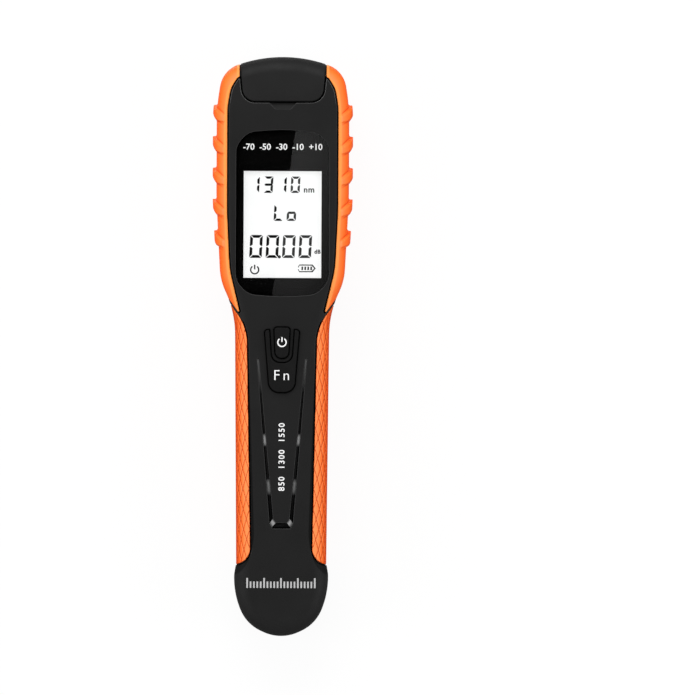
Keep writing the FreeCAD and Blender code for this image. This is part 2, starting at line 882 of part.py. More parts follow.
def port_adapter():
    """Metal barrel with a square flange, a keyway and a bore for the sleeve."""
    half = port_flange / 2
    barrel = along_y(port_radius, port_x, port_z, hollow_top_y, port_y)
    flange = box((port_x - half, port_x + half), (panel_y, panel_y + port_flange_depth),
                 (port_z - half, port_z + half))
    adapter = joined([barrel, flange])
    adapter = adapter.cut(along_y(port_bore_radius, port_x, port_z,
                                  port_y - port_bore_depth, far))
    adapter = adapter.cut(along_y(sleeve_radius, port_x, port_z, sleeve_start_y(), far))
    adapter = adapter.cut(along_y(detector_radius, port_x, port_z, 0, sleeve_start_y()))
    slot = box((port_x - key_slot_width / 2, port_x + key_slot_width / 2),
               (port_y - key_slot_depth, far), (port_z + sleeve_radius, far))
    adapter = adapter.cut(slot)
    for x, z in port_screw_places():
        adapter = adapter.cut(along_y(port_screw_radius, x, z, 0, far))
    return adapter


def sleeve_start_y():
    """Inner end of the ferrule sleeve."""
    return port_y - sleeve_setback - sleeve_length


def ferrule_sleeve():
    """Ceramic tube that takes the fibre connector's ferrule."""
    start = sleeve_start_y()
    end = start + sleeve_length
    tube = along_y(sleeve_radius, port_x, port_z, start, end)
    return tube.cut(along_y(ferrule_bore_radius, port_x, port_z, start - 1, end + 1))


def photodetector():
    """Detector can behind the sleeve."""
    end = sleeve_start_y()
    can = along_y(detector_radius, port_x, port_z, end - detector_length, end)
    rim = along_y(detector_cap_radius, port_x, port_z,
                  end - detector_length - detector_cap_length, end - detector_length)
    return joined([can, rim])


def port_screws():
    """The two small screws of the port's flange."""
    screws = []
    face = panel_y + port_flange_depth
    for x, z in port_screw_places():
        head = along_y(port_screw_head_radius, x, z, face, face + port_screw_head_height)
        shank = along_y(port_screw_radius, x, z, panel_y - port_screw_grip, face)
        screws.append(joined([head, shank]))
    return Part.makeCompound(screws)


def socket_corners(inset=0.0):
    """Corners of the charging socket's metal shell, in X and Z."""
    half_width = socket_width / 2 - inset
    half_height = socket_height / 2 - inset
    radius = half_width - 0.05
    return [
        (socket_x + half_width, port_z + half_height, radius),
        (socket_x + half_width, port_z - half_height, radius),
        (socket_x - half_width, port_z - half_height, radius),
        (socket_x - half_width, port_z + half_height, radius),
    ]


def charging_socket():
    """Metal shell of the socket with its contact tongue."""
    start = panel_y - socket_length
    shell = prism_y(socket_corners(), start, panel_y)
    shell = shell.cut(prism_y(socket_corners(socket_wall), start + 1.2, far))
    tongue = box((socket_x - socket_tongue / 2, socket_x + socket_tongue / 2),
                 (start + 0.6, panel_y - 0.8),
                 (port_z - socket_height / 2 + 1.1, port_z + socket_height / 2 - 1.1))
    return joined([shell, tongue])


# ---------------------------------------------------------------- keys, switches
def key_flange_bottom():
    """Lowest plane of both keys."""
    low_end = top_y - fn_key_top_drop - fn_key_length
    slope_length = overall_length - face_slope_drop - face_slope_rise
    fall = (head_depth - handle_end_depth) / slope_length
    face_z = head_depth - fall * (top_y - face_slope_drop - low_end)
    return face_z - face_wall - key_bottom_clearance - key_flange_depth


def power_key():
    """Round-ended power key with a retaining flange."""
    bottom = key_flange_bottom()
    stem = prism(rounded_wire(power_key_corners()), bottom, far)
    cap = stem.common(envelope(-key_rise))
    cap = round_rim(cap, [stem], key_rim_radius, bottom + key_flange_depth)
    flange = prism(rounded_wire(power_key_corners(), -key_flange), bottom,
                   bottom + key_flange_depth)
    return joined([cap, flange])


def fn_key():
    """Shield-shaped function key, open round the power key."""
    bottom = key_flange_bottom()
    outer = prism(rounded_wire(fn_key_corners()), bottom, far)
    inner = prism(rounded_wire(fn_inner_corners()), 0, far)
    cap = outer.cut(inner).common(envelope(-key_rise))
    cap = round_rim(cap, [outer, inner], key_rim_radius, bottom + key_flange_depth)
    outer_rim = prism(rounded_wire(fn_key_corners(), -key_flange), bottom,
                      bottom + key_flange_depth)
    inner_rim = prism(rounded_wire(fn_inner_corners(), key_flange), 0, far)
    return joined([cap, outer_rim.cut(inner_rim)])


def key_switch(y):
    """Push switch on the board, just clear of its key."""
    half = switch_width / 2
    top = board_top_z + switch_height
    body = box((-half, half), (y - half, y + half), (board_top_z, top))
    plunger = along_z(plunger_radius, 0, y, top, key_flange_bottom() - key_travel - switch_gap)
    return joined([body, plunger])


# ------------------------------------------------------------------ electronics
def main_board():
    """Circuit board that follows the inside of the covers."""
    plan = rounded_wire(mirrored(body_outline()), pad_depth + shell_wall + board_gap)
    board = prism(plan, board_height, board_top_z)
    board = board.common(box((-far, far), (board_bottom_y, board_top_y), (0, far)))
    x, y = screw_places[2]
    board = board.cut(along_z(screw_boss_radius + board_boss_gap, x, y, 0, far))
    for x, y in board_screw_places():
        board = board.cut(along_z(board_screw_hole_radius, x, y, 0, far))
    return board


def board_screws():
    """Screws that hold the board on its posts."""
    screws = []
    for x, y in board_screw_places():
        head = along_z(board_screw_head_radius, x, y, board_top_z,
                       board_top_z + board_screw_head_height)
        shank = along_z(board_screw_radius, x, y, board_height - board_screw_grip, board_top_z)
        screws.append(joined([head, shank]))
    return Part.makeCompound(screws)


def lcd_block(width, length, bottom, top):
    """Block centred behind the display opening."""
    middle = lcd_top - lcd_length / 2
    return box((-width / 2, width / 2), (middle - length / 2, middle + length / 2),
               (bottom, top))


def lcd_panel():
    """Liquid-crystal glass against the inside of the front cover."""
    top = head_depth - face_wall
    return lcd_block(lcd_width, lcd_length, top - lcd_glass_thickness, top)


def lcd_frame():
    """Plastic frame that holds the glass and the light plate on the board."""
    top = head_depth - face_wall
    outer = lcd_block(lcd_width + 2 * lcd_frame_wall, lcd_length + 2 * lcd_frame_wall,
                      board_top_z, top - lcd_frame_drop)
    limit = rounded_wire(mirrored(body_outline()), pad_depth + shell_wall + join_width)
    frame = outer.common(prism(limit, 0, far))
    return frame.cut(lcd_block(lcd_width + 2 * lcd_frame_gap, lcd_length + 2 * lcd_frame_gap,
                               0, far))


def backlight():
    """Light plate under the glass."""
    top = head_depth - face_wall - lcd_glass_thickness
    return lcd_block(lcd_width, lcd_length, board_top_z, top)


def display_window():
    """Glossy window plate in its recess."""
    return prism(rounded_wire(mirrored(window_corners())), head_depth - window_depth, head_depth)


def battery():
    """Rechargeable cell in the handle."""
    start = bottom_y + battery_rise
    tip = along_y(battery_tip_radius, 0, battery_z, start + battery_length,
                  start + battery_length + battery_tip_length)
    return joined([battery_cylinder(), tip])


def case_screws():
    """The four screws that hold the covers together."""
    screws = []
    for x, y in screw_places:
        head = along_z(screw_head_radius, x, y, screw_well_depth - screw_head_height,
                       screw_well_depth)
        shank = along_z(screw_shank_radius, x, y, screw_well_depth,
                        screw_well_depth + screw_length)
        screws.append(joined([head, shank]))
    return Part.makeCompound(screws)


# ------------------------------------------------------------------------ output
def save(shape, name):
    """Write one piece to its own STEP file."""
    shape.exportStep(os.path.join("parts", name + ".step"))
    print("%-16s solids %d  volume %9.1f  valid %s" % (
        name, len(shape.Solids), shape.Volume, shape.isValid()))


def main():
    """Build every piece and write it."""
    os.makedirs("parts", exist_ok=True)
    shell = covers_together()
    right_bumper = bumper()
    right_grip = grip()
    power_key_y = top_y - power_key_top_drop - power_key_length / 2
    fn_switch_y = top_y - fn_key_top_drop - fn_key_length + fn_switch_rise
    pieces = {
        "front_cover": front_cover(shell),
        "rear_cover": rear_cover(shell),
        "bumper_right": right_bumper,
        "bumper_left": mirror_x(right_bumper),
        "grip_right": right_grip,
        "grip_left": mirror_x(right_grip),
        "display_window": display_window(),
        "lcd_panel": lcd_panel(),
        "lcd_frame": lcd_frame(),
        "backlight": backlight(),
        "flip_cap": flip_cap(),
        "cap_hinge_pin": hinge_axle(hinge_pin_radius, hinge_pin_length),
        "cap_seal": cap_seal(),
        "port_panel": port_panel(),
        "port_adapter": port_adapter(),
        "ferrule_sleeve": ferrule_sleeve(),
        "photodetector": photodetector(),
        "port_screws": port_screws(),
        "charging_socket": charging_socket(),
        "power_key": power_key(),
        "fn_key": fn_key(),
        "power_switch": key_switch(power_key_y),
        "fn_switch": key_switch(fn_switch_y),
        "main_board": main_board(),
        "board_screws": board_screws(),
        "battery": battery(),
        "rear_label": rear_label(),
        "case_screws": case_screws(),
    }
    for name, shape in pieces.items():
        save(shape, name)


main()
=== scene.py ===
"""Handheld optical power meter: the finishes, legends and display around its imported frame."""

import math

import bmesh
import bpy
import numpy as np
from mathutils import Matrix, Vector
from mathutils.bvhtree import BVHTree


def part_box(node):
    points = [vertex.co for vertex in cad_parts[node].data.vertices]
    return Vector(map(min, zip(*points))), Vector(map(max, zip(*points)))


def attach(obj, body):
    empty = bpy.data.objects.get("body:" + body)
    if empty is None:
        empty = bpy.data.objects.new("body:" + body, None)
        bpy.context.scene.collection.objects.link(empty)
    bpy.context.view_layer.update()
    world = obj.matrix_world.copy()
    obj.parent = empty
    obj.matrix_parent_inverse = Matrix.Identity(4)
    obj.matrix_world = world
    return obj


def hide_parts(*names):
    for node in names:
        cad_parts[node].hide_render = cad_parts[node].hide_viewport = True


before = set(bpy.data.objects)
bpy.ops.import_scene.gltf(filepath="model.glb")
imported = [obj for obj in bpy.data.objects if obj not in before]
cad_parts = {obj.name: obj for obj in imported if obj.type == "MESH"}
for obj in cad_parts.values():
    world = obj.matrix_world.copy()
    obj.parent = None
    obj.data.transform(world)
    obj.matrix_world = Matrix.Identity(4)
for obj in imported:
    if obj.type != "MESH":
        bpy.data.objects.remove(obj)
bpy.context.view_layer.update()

MM = 0.001
CORNER_ANGLE = math.radians(32)  # sharper edges than this stay crisp
WELD = 0.002 * MM  # points closer than this are one

# ---- rubber overmould
RUBBER_VOXEL = 0.29 * MM
BUMPER_ROUGHNESS, BUMPER_SPECULAR = 0.46, 0.13
GRIP_ROUGHNESS, GRIP_SPECULAR = 0.52, 0.11
# painted shade: tones by how far a surface faces up, from the darker wall to the paler face
BUMPER_SHADE_TONES = [(0.0, "fb540a"), (0.5, "ff6a1a"), (0.76, "ff7c34"), (0.96, "ff8c52")]
GRIP_SHADE_TONES = [(0.0, "c83c06"), (0.3, "d2460a"), (0.6, "ec5c18"), (0.8, "f97832"), (0.95, "ff8e50")]
DIAMOND_LENGTH = 6.3 * MM
DIAMOND_WIDTH = 2.9 * MM
DIAMOND_DEPTH = 0.24 * MM
DIAMOND_CHANNEL = 0.22  # share of the half cell that slopes into the channel
DIAMOND_START = (-2.05 * MM, -37.9 * MM)  # a crossing, round the grip and along the meter
DIAMOND_MARGIN = 0.8 * MM  # plain border of the grips, beyond the groove
# painted shade in the channels between the diamonds: its tone and how strongly it is laid on
CHANNEL_SHADE_TONE = "b03806"
CHANNEL_SHADE = 0.85
# the two creases that carry the rib nearest the cap onto the bumper's faces: the outer and
# the inner end of each, as (from the middle, along the meter)
RIB_CREASES = [((20.3 * MM, 74.2 * MM), (17.3 * MM, 71.4 * MM)),
               ((21.7 * MM, 71.0 * MM), (17.7 * MM, 68.4 * MM))]
RIB_PITCH = 9.75 * MM
RIBS = 5
CREASE_DEPTH = 0.32 * MM
CREASE_HALF = 0.42 * MM
# painted shade laid along the creases
CREASE_SHADE_TONE = "ea4a06"
CREASED_FACE = 0.2  # only surfaces that face up or down this far are creased
# the bumper's edge beside the groove as (along the meter, from the middle), in mm
BUMPER_INNER_EDGE = [(9.8, 12.6), (16, 14.6), (24, 16.3), (33, 16.85), (45, 17.2), (72, 17.25),
                     (77, 16.85), (80, 16.2), (82.2, 15), (83.7, 13.6), (88, 13.5)]
BEAD_HIGHLIGHT_FADE = (1.17 * MM, 0.72 * MM)  # the painted highlight along that edge fades over this stretch
BEAD_HIGHLIGHT_TONE = "fd9648"

# ---- covers
EDGE_ROUND = 0.3 * MM  # softening of the cap's edges, which also carry painted shade
COVER_EDGE_ROUND = 0.42 * MM
# painted highlight on the covers' edges
COVER_EDGE_HIGHLIGHT = "3c3c3c"
CAP_LIP_HIGHLIGHT_START = (75.0 * MM, 76.4 * MM)  # the painted highlight on the covers' edges is paler from here on
CAP_LIP_HIGHLIGHT = "686868"
KEY_WELL_SHADE_FADE = (0.5 * MM, 0.2 * MM)  # painted shade: they are black round the keys, up to this far off
KEY_WELL_SHADE = "040404"
KEY_ROUND = 0.3 * MM  # how far the painted shade on the keys' edges reaches
KEY_RIM = (0.985, 0.93)  # painted shade: the keys turn black where they face up less than this
KEY_RIM_SHADE = "020202"
BAND_TURN = -57.5 * MM  # where the band of painted shade starts to turn round the grip's end
BAND_DROP = 13.4 * MM  # from there to the heel's step
BAND_MIDDLE = 15.0 * MM  # middle of that turn, across the meter
BAND_REACH = 6.5 * MM
BAND_FLARE = 0.033  # how fast the band's edge leaves the middle towards the head
BAND_FADE = (6 * MM, -14 * MM)  # along the meter, from none to full
# painted shade on that band
BAND_SHADE = "050505"
# black sheets of painted shade laid in the gaps between parts
SHADE_SHEET_INSET = 0.2 * MM  # the sheets of painted shade start this far below their walls' rims
SHADE_SHEET_WIDTH = 0.38 * MM
GRIP_SHADE_SHEET_REACH = 1.5 * MM  # of the grip's lower end
BUMPER_SHADE_SHEET_REACH = 4.2 * MM  # of the bumper's upper end
# the walls beside the cap that get a sheet of painted shade lie between these, as (across, along)
CAP_GAP_SHADE_START = (6.0 * MM, 75.0 * MM)
CAP_GAP_SHADE_END = (14.0 * MM, 86.0 * MM)
CAP_GAP_SHADE_INSET = 1.0 * MM
CAP_GAP_SHADE_WIDTH = 0.5 * MM

# ---- handle's grooves
GROOVE_REACH = 2.6 * MM  # the grooves lie within this of the function key's sides
GROOVE_FILL = 0.5 * MM  # height of the strips of painted shade and highlight on their floors
# painted tone of the strips along the meter, near-black painted shade with grey painted
# highlights, from the heel towards the cap, by its place in mm
GROOVE_SHADE_AND_HIGHLIGHTS = [
    (-58, "030303"), (-46.2, "030303"), (-44.6, "626262"), (-42.4, "6c6c6c"), (-41, "030303"),
    (-31, "030303"), (-29.8, "8c8c8c"), (-28.2, "8a8a8a"), (-27, "030303"), (-14.6, "0c0c0c"),
    (-11.4, "383838"), (-3, "686868"),
]
# the painted highlights on the facets at the grooves' lower corners: their middle, as (from the
# middle, along the meter), their slope and how they fade from it
FACET_CENTRE = (2.84 * MM, -55.0 * MM)
FACET_SLOPE = 0.75
FACET_FADE = (0.89 * MM, 0.79 * MM)
FACET_HIGHLIGHT = "929292"

# ---- display
WINDOW_SIDE_BORDER = 2.32 * MM
WINDOW_HEAD_BORDER = 12.7 * MM
WINDOW_FOOT_BORDER = 5.7 * MM
PRINT_THICKNESS = 0.04 * MM
DISPLAY_LIFT = 0.02 * MM  # between one printed layer and the next
DISPLAY_OVERLAP = 0.5 * MM  # the lit face reaches this far under the print
# glow of the display: its backlight, raised as painted light so that the face shows full white
DISPLAY_GLOW = 0.78
SEGMENT_GAP = 0.34 * MM
SEGMENT_SLANT = 0.05
SEGMENTS_OF = {"0": "abcdef", "1": "bc", "3": "abgcd", "L": "fed", "o": "cdeg"}
# the rows of figures from the display's lower left corner, in mm: their left end, pitch and
# foot, and a figure's width, height and stroke
FIGURE_ROWS = {
    "1310": (1.9, 4.2, 26.4, 2.85, 5.1, 0.72),
    "Lo": (9.3, 4.0, 17.7, 2.9, 5.1, 0.74),
    "0000": (1.75, 5.1, 6.2, 3.9, 7.1, 0.88),
}
POINT_PLACE = (-0.95, 6.55)  # from the middle and the display's foot, in mm
POINT_RADIUS = 0.5 * MM
POWER_RING = (125, 290)  # where the power sign's ring starts and its sweep, in degrees
POWER_BAR = (0.1, 1.15)  # foot and height of the sign's bar, of the ring's radius
# units: their height and place from the middle and the display's foot, in mm
UNITS = {"nm": (1.8, (8.2, 27.2)), "dB": (1.2, (10.9, 8.2))}
UNIT_SPACING = 1.1
UNIT_WEIGHT = 0.07 * MM

# ---- legends and marks
LEGEND_LAYER = (-0.12 * MM, 0.03 * MM)  # from below the surface to above it
# rows of bars: their pitch and number, the short and the tall ones' height, and every how
# many one is tall
HEEL_SCALE = (1.05 * MM, 21, 2.0 * MM, 3.1 * MM, 5)
REAR_SCALE = (0.52 * MM, 41, 1.0 * MM, 1.9 * MM, 10)
LABEL_SCALE = (0.7 * MM, 25, 0.7 * MM, 1.3 * MM, 4)
HEEL_FOOT, HEEL_LINE = -75 * MM, 0.52 * MM
REAR_FOOT, REAR_LINE = 29.8 * MM, 0.22 * MM
ENGRAVING_DEPTH = 0.12 * MM
# engraved words: their height and place across and along the meter, in mm
REAR_WORDS = {
    "3 - 6 V": (1.6, (8.6, 37.8)),
    "850 - 1650": (1.6, (-7.2, 37.8)),
    "-70   -50   -30   -10   +10": (1.3, (0, 33.6)),
}
REAR_WEIGHT = 0.05 * MM
ROUND_MARKS = [(x * MM, 25.3 * MM) for x in (5.2, 0, -5.2)]
LABEL_INK = 0.04 * MM
DIAL_START, DIAL_SWEEP, DIAL_STEP = -30, 240, 30  # degrees
NEEDLE_TURN = -40

# ---- fasteners
SOCKET_SHARE = 0.52  # recess of a screw's head, of its radius
SOCKET_DEPTH_SHARE = 0.55  # of the head's height
HEAD_ROUND_SHARE = 0.22
CASE_HEAD_HEIGHT = 1.5 * MM
CASE_HEAD_SHARE = 0.76  # the bright head leaves a dark ring in its well
CASE_SHANK_RADIUS = 1.1 * MM
PORT_HEAD_HEIGHT = 0.8 * MM
PORT_SHANK_RADIUS = 0.6 * MM
BARREL_RADIUS = 4.0 * MM
THREAD_PITCH = 0.75 * MM
THREAD_LENGTH = 5.6 * MM
THREAD_RISE = 0.12 * MM
THREAD_STEPS = 40  # of one turn

# ---- studio
FLOOR_DROP = 0.1 * MM  # keeps the floor clear of the rear cover
FLOOR_SIZE = 4.0
FLOOR_WHITENESS = 0.93  # the rest keeps the meter's shadow
SKY_LIGHT = 0.5
# lamps: place, size and power
LAMPS = {
    "overhead": ((-0.15, 0.95, 0.85), 0.9, 11.5),
    "left_fill": ((-0.95, -0.15, 0.5), 0.6, 4.6),
    "right_fill": ((0.95, -0.2, 0.5), 0.6, 4.6),
    "rear_light": ((-0.15, 0.6, -1.0), 0.9, 11.0),
}
DARK_CARD = [(-0.5, -0.5), (0.5, -0.5), (0.5, 0.5), (-0.5, 0.5)]
DARK_CARD_HEIGHT = 1.0
BRIGHT_CARD = [(-0.0647, -0.4), (0.4, -0.4), (0.4, 0.4), (0.0448, 0.4)]
BRIGHT_CARD_HEIGHT = 0.9
BRIGHT_CARD_GLOW = 0.62
# how that card fades: what is left of its glow, and what each direction adds over a stretch
CARD_REST = 0.15
CARD_FADES = {"Y": (0.005, 0.075, 0.5), "X": (0.022, 0.0, 0.35)}
LENS = 800.0
SENSOR = 36.0
PICTURE_WIDTH = 216.35 * MM
PICTURE_CENTRE = (20.35 * MM, -0.2 * MM, 14 * MM)
PICTURE_TURN = math.radians(0.25)
FAR_CLIP = 20


# ---- shader workshop
def colour(code):
    """A written colour such as 2a2a2a in the linear values that a shader takes."""
    channels = [int(code[i:i + 2], 16) / 255 for i in (0, 2, 4)]
    linear = [c / 12.92 if c <= 0.04045 else ((c + 0.055) / 1.055) ** 2.4 for c in channels]
    return (*linear, 1.0)


def set_inputs(node, inputs):
    """Sets a node's inputs to numbers or written colours, or links them to fields or sockets."""
    for name, value in inputs.items():
        source = value.socket if isinstance(value, Field) else value
        if isinstance(source, bpy.types.NodeSocket):
            node.id_data.links.new(source, node.inputs[name])
        else:
            node.inputs[name].default_value = colour(source) if isinstance(source, str) else source


def add_node(tree, kind, inputs=None, **settings):
    """A new node with its settings and inputs."""
    node = tree.nodes.new("ShaderNode" + kind)
    for name, value in settings.items():
        setattr(node, name, value)
    set_inputs(node, inputs or {})
    return node


def shader_sum(operation, swapped=False):
    """A method that works out one sum in the shader, on fields and plain numbers."""
    def method(*values):
        order = dict(enumerate(values[::-1] if swapped else values))
        return Field(add_node(values[0].tree, "Math", order, operation=operation).outputs[0])
    return method


class Field:
    """A number that varies over a surface. Sums on it become nodes of its shader."""

    def __init__(self, socket):
        self.socket = socket
        self.tree = socket.id_data

    __add__ = shader_sum("ADD")
    __sub__ = shader_sum("SUBTRACT")
    __rsub__ = shader_sum("SUBTRACT", swapped=True)
    __mul__ = shader_sum("MULTIPLY")
    __truediv__ = shader_sum("DIVIDE")
    __mod__ = shader_sum("FLOORED_MODULO")
    __pow__ = shader_sum("POWER")
    __abs__ = shader_sum("ABSOLUTE")
    larger = shader_sum("MAXIMUM")
    smaller = shader_sum("MINIMUM")


def finish(name, roughness, specular=0.5, metallic=0.0):
    """A new material, its node tree and its shader."""
    material = bpy.data.materials.new(name)
    material.use_nodes = True
    tree = material.node_tree
    shader = tree.nodes["Principled BSDF"]
    set_inputs(shader, {"Roughness": roughness, "Specular IOR Level": specular, "Metallic": metallic})
    return material, tree, shader


def given(tree, kind, output):
    """What a new node gives by itself."""
    return add_node(tree, kind).outputs[output]


def part_of(vector, axis):
    """One axis of a vector, as a field."""
    return Field(add_node(vector.id_data, "SeparateXYZ", {"Vector": vector}).outputs[axis])


def coordinate(tree, axis):
    """One of the piece's own coordinates."""
    return part_of(given(tree, "TexCoord", "Object"), axis)


def facing_up(tree):
    """0 on walls, 1 where the surface faces straight up or down."""
    return abs(part_of(given(tree, "NewGeometry", "Normal"), "Z"))


def cloud(tree, size, detail=3.0):
    """Soft noise whose lumps are about this large."""
    noise = add_node(tree, "TexNoise", {"Vector": given(tree, "TexCoord", "Object"),
                                        "Scale": 1 / size, "Detail": detail, "Roughness": 0.55})
    return Field(noise.outputs["Fac"])


def mapped(field, from_low, from_high, to_low=0.0, to_high=1.0, interpolation="LINEAR"):
    """A field stretched from one range to another."""
    ranges = {"Value": field, "From Min": from_low, "From Max": from_high,
              "To Min": to_low, "To Max": to_high}
    node = add_node(field.tree, "MapRange", ranges, interpolation_type=interpolation)
    return Field(node.outputs["Result"])


def spread(noise, low, high):
    """The middle of a noise, stretched to run from low to high."""
    return mapped(noise, 0.3, 0.7, low, high)


def between(field, low, high):
    """A field's place from low to high as a smooth 0 to 1."""
    return mapped(field, low, high, interpolation="SMOOTHSTEP")


def blend(share, first, second):
    """A colour between two, by a share from 0 to 1. Each is a written colour or a socket."""
    mix = add_node(share.tree, "Mix", {"Factor": share, 6: first, 7: second}, data_type="RGBA")
    return mix.outputs[2]


def ramp(field, stops):
    """A colour that follows a field through written colours at (place, colour) stops."""
    node = add_node(field.tree, "ValToRGB", {"Fac": field})
    bands = node.color_ramp.elements
    while len(bands) < len(stops):
        bands.new(0.5)
    for band, (place, code) in zip(bands, stops):
        band.position = place
        band.color = colour(code)
    return node.outputs["Color"]


def clouded(tree, size, dark, light):
    """A colour that wanders between two close tones."""
    return blend(spread(cloud(tree, size), 0.0, 1.0), dark, light)


def grain(shader, size, depth, below=None):
    """Fine mould texture as bump, over another bump if there is one."""
    tree = shader.id_data
    bump = add_node(tree, "Bump", {"Distance": depth, "Height": cloud(tree, size, detail=2.0)})
    if below:
        set_inputs(bump, {"Normal": below})
    set_inputs(shader, {"Normal": bump.outputs["Normal"]})


def soft_edges(tree, radius):
    """Normals that round the edges off by a radius, and a share that is 1 on those edges."""
    rounded = add_node(tree, "Bevel", {"Radius": radius}, samples=6).outputs["Normal"]
    likeness = add_node(tree, "VectorMath", {0: rounded, 1: given(tree, "NewGeometry", "Normal")},
                        operation="DOT_PRODUCT")
    return rounded, between(Field(likeness.outputs["Value"]), 0.99, 0.85)


# ---- rubber pattern, in numbers or fields
def to_whole(value):
    """How far a value lies from the nearest whole number."""
    return abs((value + 0.5) % 1 - 0.5)


def to_channels(x, y, z):
    """How far a place on a grip lies from its two crossing channels, in cells."""
    low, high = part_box("grip_right")
    along = (y - DIAMOND_START[1]) / DIAMOND_LENGTH
    around = (abs(x) - abs(z - (low.z + high.z) / 2) - DIAMOND_START[0]) / DIAMOND_WIDTH
    return to_whole(along + around), to_whole(along - around)


def to_crease(x, y, outer, inner):
    """A place's share of the way inwards along a crease, its place in ribs from the first
    crease, and how far it lies from the nearest one, of the crease's half width."""
    inward = (outer[0] - abs(x)) / (outer[0] - inner[0])
    turns = (y - outer[1] - inward * (inner[1] - outer[1])) / RIB_PITCH
    return inward, turns, to_whole(turns) * (RIB_PITCH / CREASE_HALF)


# ---- finishes
def moulded(name, dark, light, lump, roughness, specular, grain_size, grain_depth,
            edge_round=0.0, edge_light_and_shade=None, patch=None, patch_shade_tone=None):
    """A moulded finish: faint cloudiness, uneven sheen and a fine eroded grain.

    Its lumps and grain are in mm. Its edges may take painted highlight and shade of their own,
    written or made in the tree, and a patch gives the share of the surface that takes the patch's
    painted shade.
    """
    material, tree, shader = finish(name, roughness, specular)
    tone = clouded(tree, lump * MM, dark, light)
    normals = None
    # the edges' and the patch's tones are painted highlight and shade
    if edge_round:
        normals, on_edge = soft_edges(tree, edge_round)
        tone = blend(on_edge, tone, edge_light_and_shade(tree) if callable(edge_light_and_shade) else edge_light_and_shade)
    if patch:
        tone = blend(patch(tree), tone, patch_shade_tone)
    sheen = spread(cloud(tree, lump * MM / 3), roughness - 0.05, roughness + 0.05)
    set_inputs(shader, {"Base Color": tone, "Roughness": sheen})
    grain(shader, grain_size * MM, grain_depth * MM, normals)
    return material


def cover_edge_light_and_shade(tree):
    """The painted tone of the covers' edges: a painted highlight, paler by the cap, and painted
    shade, black round the keys.
    """
    low, fn_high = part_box("fn_key")
    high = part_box("power_key")[1]
    outer, inner = KEY_WELL_SHADE_FADE
    half_width, half_length = fn_high.x, (high.y - low.y) / 2
    along = abs(coordinate(tree, "Y") - (low.y + high.y) / 2)
    shade_by_keys = (between(abs(coordinate(tree, "X")), half_width + outer, half_width + inner)
               * between(along, half_length + outer, half_length + inner))
    highlight_by_cap = between(coordinate(tree, "Y"), *CAP_LIP_HIGHLIGHT_START)
    return blend(shade_by_keys, blend(highlight_by_cap, COVER_EDGE_HIGHLIGHT, CAP_LIP_HIGHLIGHT), KEY_WELL_SHADE)


def grip_band_shade(tree):
    """The share of painted shade: 1 on the band of the covers that runs along each grip and round its
    lower end, else 0.
    """
    along = coordinate(tree, "Y")
    above = (along - BAND_TURN).larger(0.0)
    below = (BAND_TURN - along).larger(0.0)
    inward = (above * BAND_FLARE + BAND_MIDDLE - abs(coordinate(tree, "X"))).larger(0.0)
    reach = (below / BAND_DROP) ** 2.0 + (inward / BAND_REACH) ** 2.0
    return between(reach, 1.05, 0.95) * between(along, *BAND_FADE)


def key_wall_shade(tree):
    """The share of painted shade: 1 where a key's top turns into its walls, and on them, else 0."""
    return between(facing_up(tree), *KEY_RIM)


def rubber(name, tones, roughness, specular):
    """Moulded rubber with painted shade: its colour turns paler from its walls to its faces."""
    material, tree, shader = finish(name, roughness, specular)
    uneven = spread(cloud(tree, 9 * MM), -0.04, 0.04)
    sheen = spread(cloud(tree, 4 * MM), roughness - 0.06, roughness + 0.06)
    set_inputs(shader, {"Roughness": sheen})
    grain(shader, 0.4 * MM, 0.008 * MM)
    # painted shade: the colour follows how far the surface faces up
    return material, tree, shader, ramp(facing_up(tree) + uneven, tones)


def crease_share(tree, outer, inner):
    """The share of painted shade along one crease of every rib: 1 on it, fading from the side
    inwards.
    """
    inward, turns, off = to_crease(coordinate(tree, "X"), coordinate(tree, "Y"), outer, inner)
    share = between(off, 1.0, 0.0)
    # it fades at its inner and outer end, before the first rib and past the last one
    for field, low, high in ((inward, 1.0, 0.3), (inward, -0.08, 0.0), (turns, 0.5, 0.45),
                             (turns, 0.5 - RIBS, 0.55 - RIBS)):
        share = share * between(field, low, high)
    return share


def bumper_rubber():
    """Soft orange with a painted highlight along the groove and painted shade in the creases beside
    the ribs.
    """
    material, tree, shader, tone = rubber("soft_orange", BUMPER_SHADE_TONES, BUMPER_ROUGHNESS,
                                          BUMPER_SPECULAR)
    # painted shade along the creases beside the ribs
    for outer, inner in RIB_CREASES:
        tone = blend(crease_share(tree, outer, inner), tone, CREASE_SHADE_TONE)
    low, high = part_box("bumper_right")
    along = (coordinate(tree, "Y") - low.y) / (high.y - low.y)
    edge = add_node(tree, "FloatCurve", {"Value": along})
    points = edge.mapping.curves[0].points
    while len(points) < len(BUMPER_INNER_EDGE):
        points.new(0.5, 0.5)
    for point, (y, x) in zip(points, BUMPER_INNER_EDGE):
        point.location = ((y * MM - low.y) / (high.y - low.y), x * MM / high.x)
    edge.mapping.update()
    inside = (abs(coordinate(tree, "X")) / high.x - Field(edge.outputs[0])) * high.x
    # painted highlight along the bumper's edge beside the groove
    set_inputs(shader, {"Base Color": blend(between(inside, *BEAD_HIGHLIGHT_FADE), tone, BEAD_HIGHLIGHT_TONE)})
    return material


def grip_rubber():
    """Orange rubber with painted shade: paler towards its faces and darker in the channels between
    its diamonds.
    """
    material, tree, shader, tone = rubber("grip_orange", GRIP_SHADE_TONES, GRIP_ROUGHNESS, GRIP_SPECULAR)
    one, other = to_channels(*(coordinate(tree, axis) for axis in "XYZ"))
    on_diamond = between(one.smaller(other), 0.0, DIAMOND_CHANNEL / 2)
    painted_channel_shade = (1.0 - on_diamond) * CHANNEL_SHADE
    set_inputs(shader, {"Base Color": blend(painted_channel_shade, tone, CHANNEL_SHADE_TONE)})
    return material


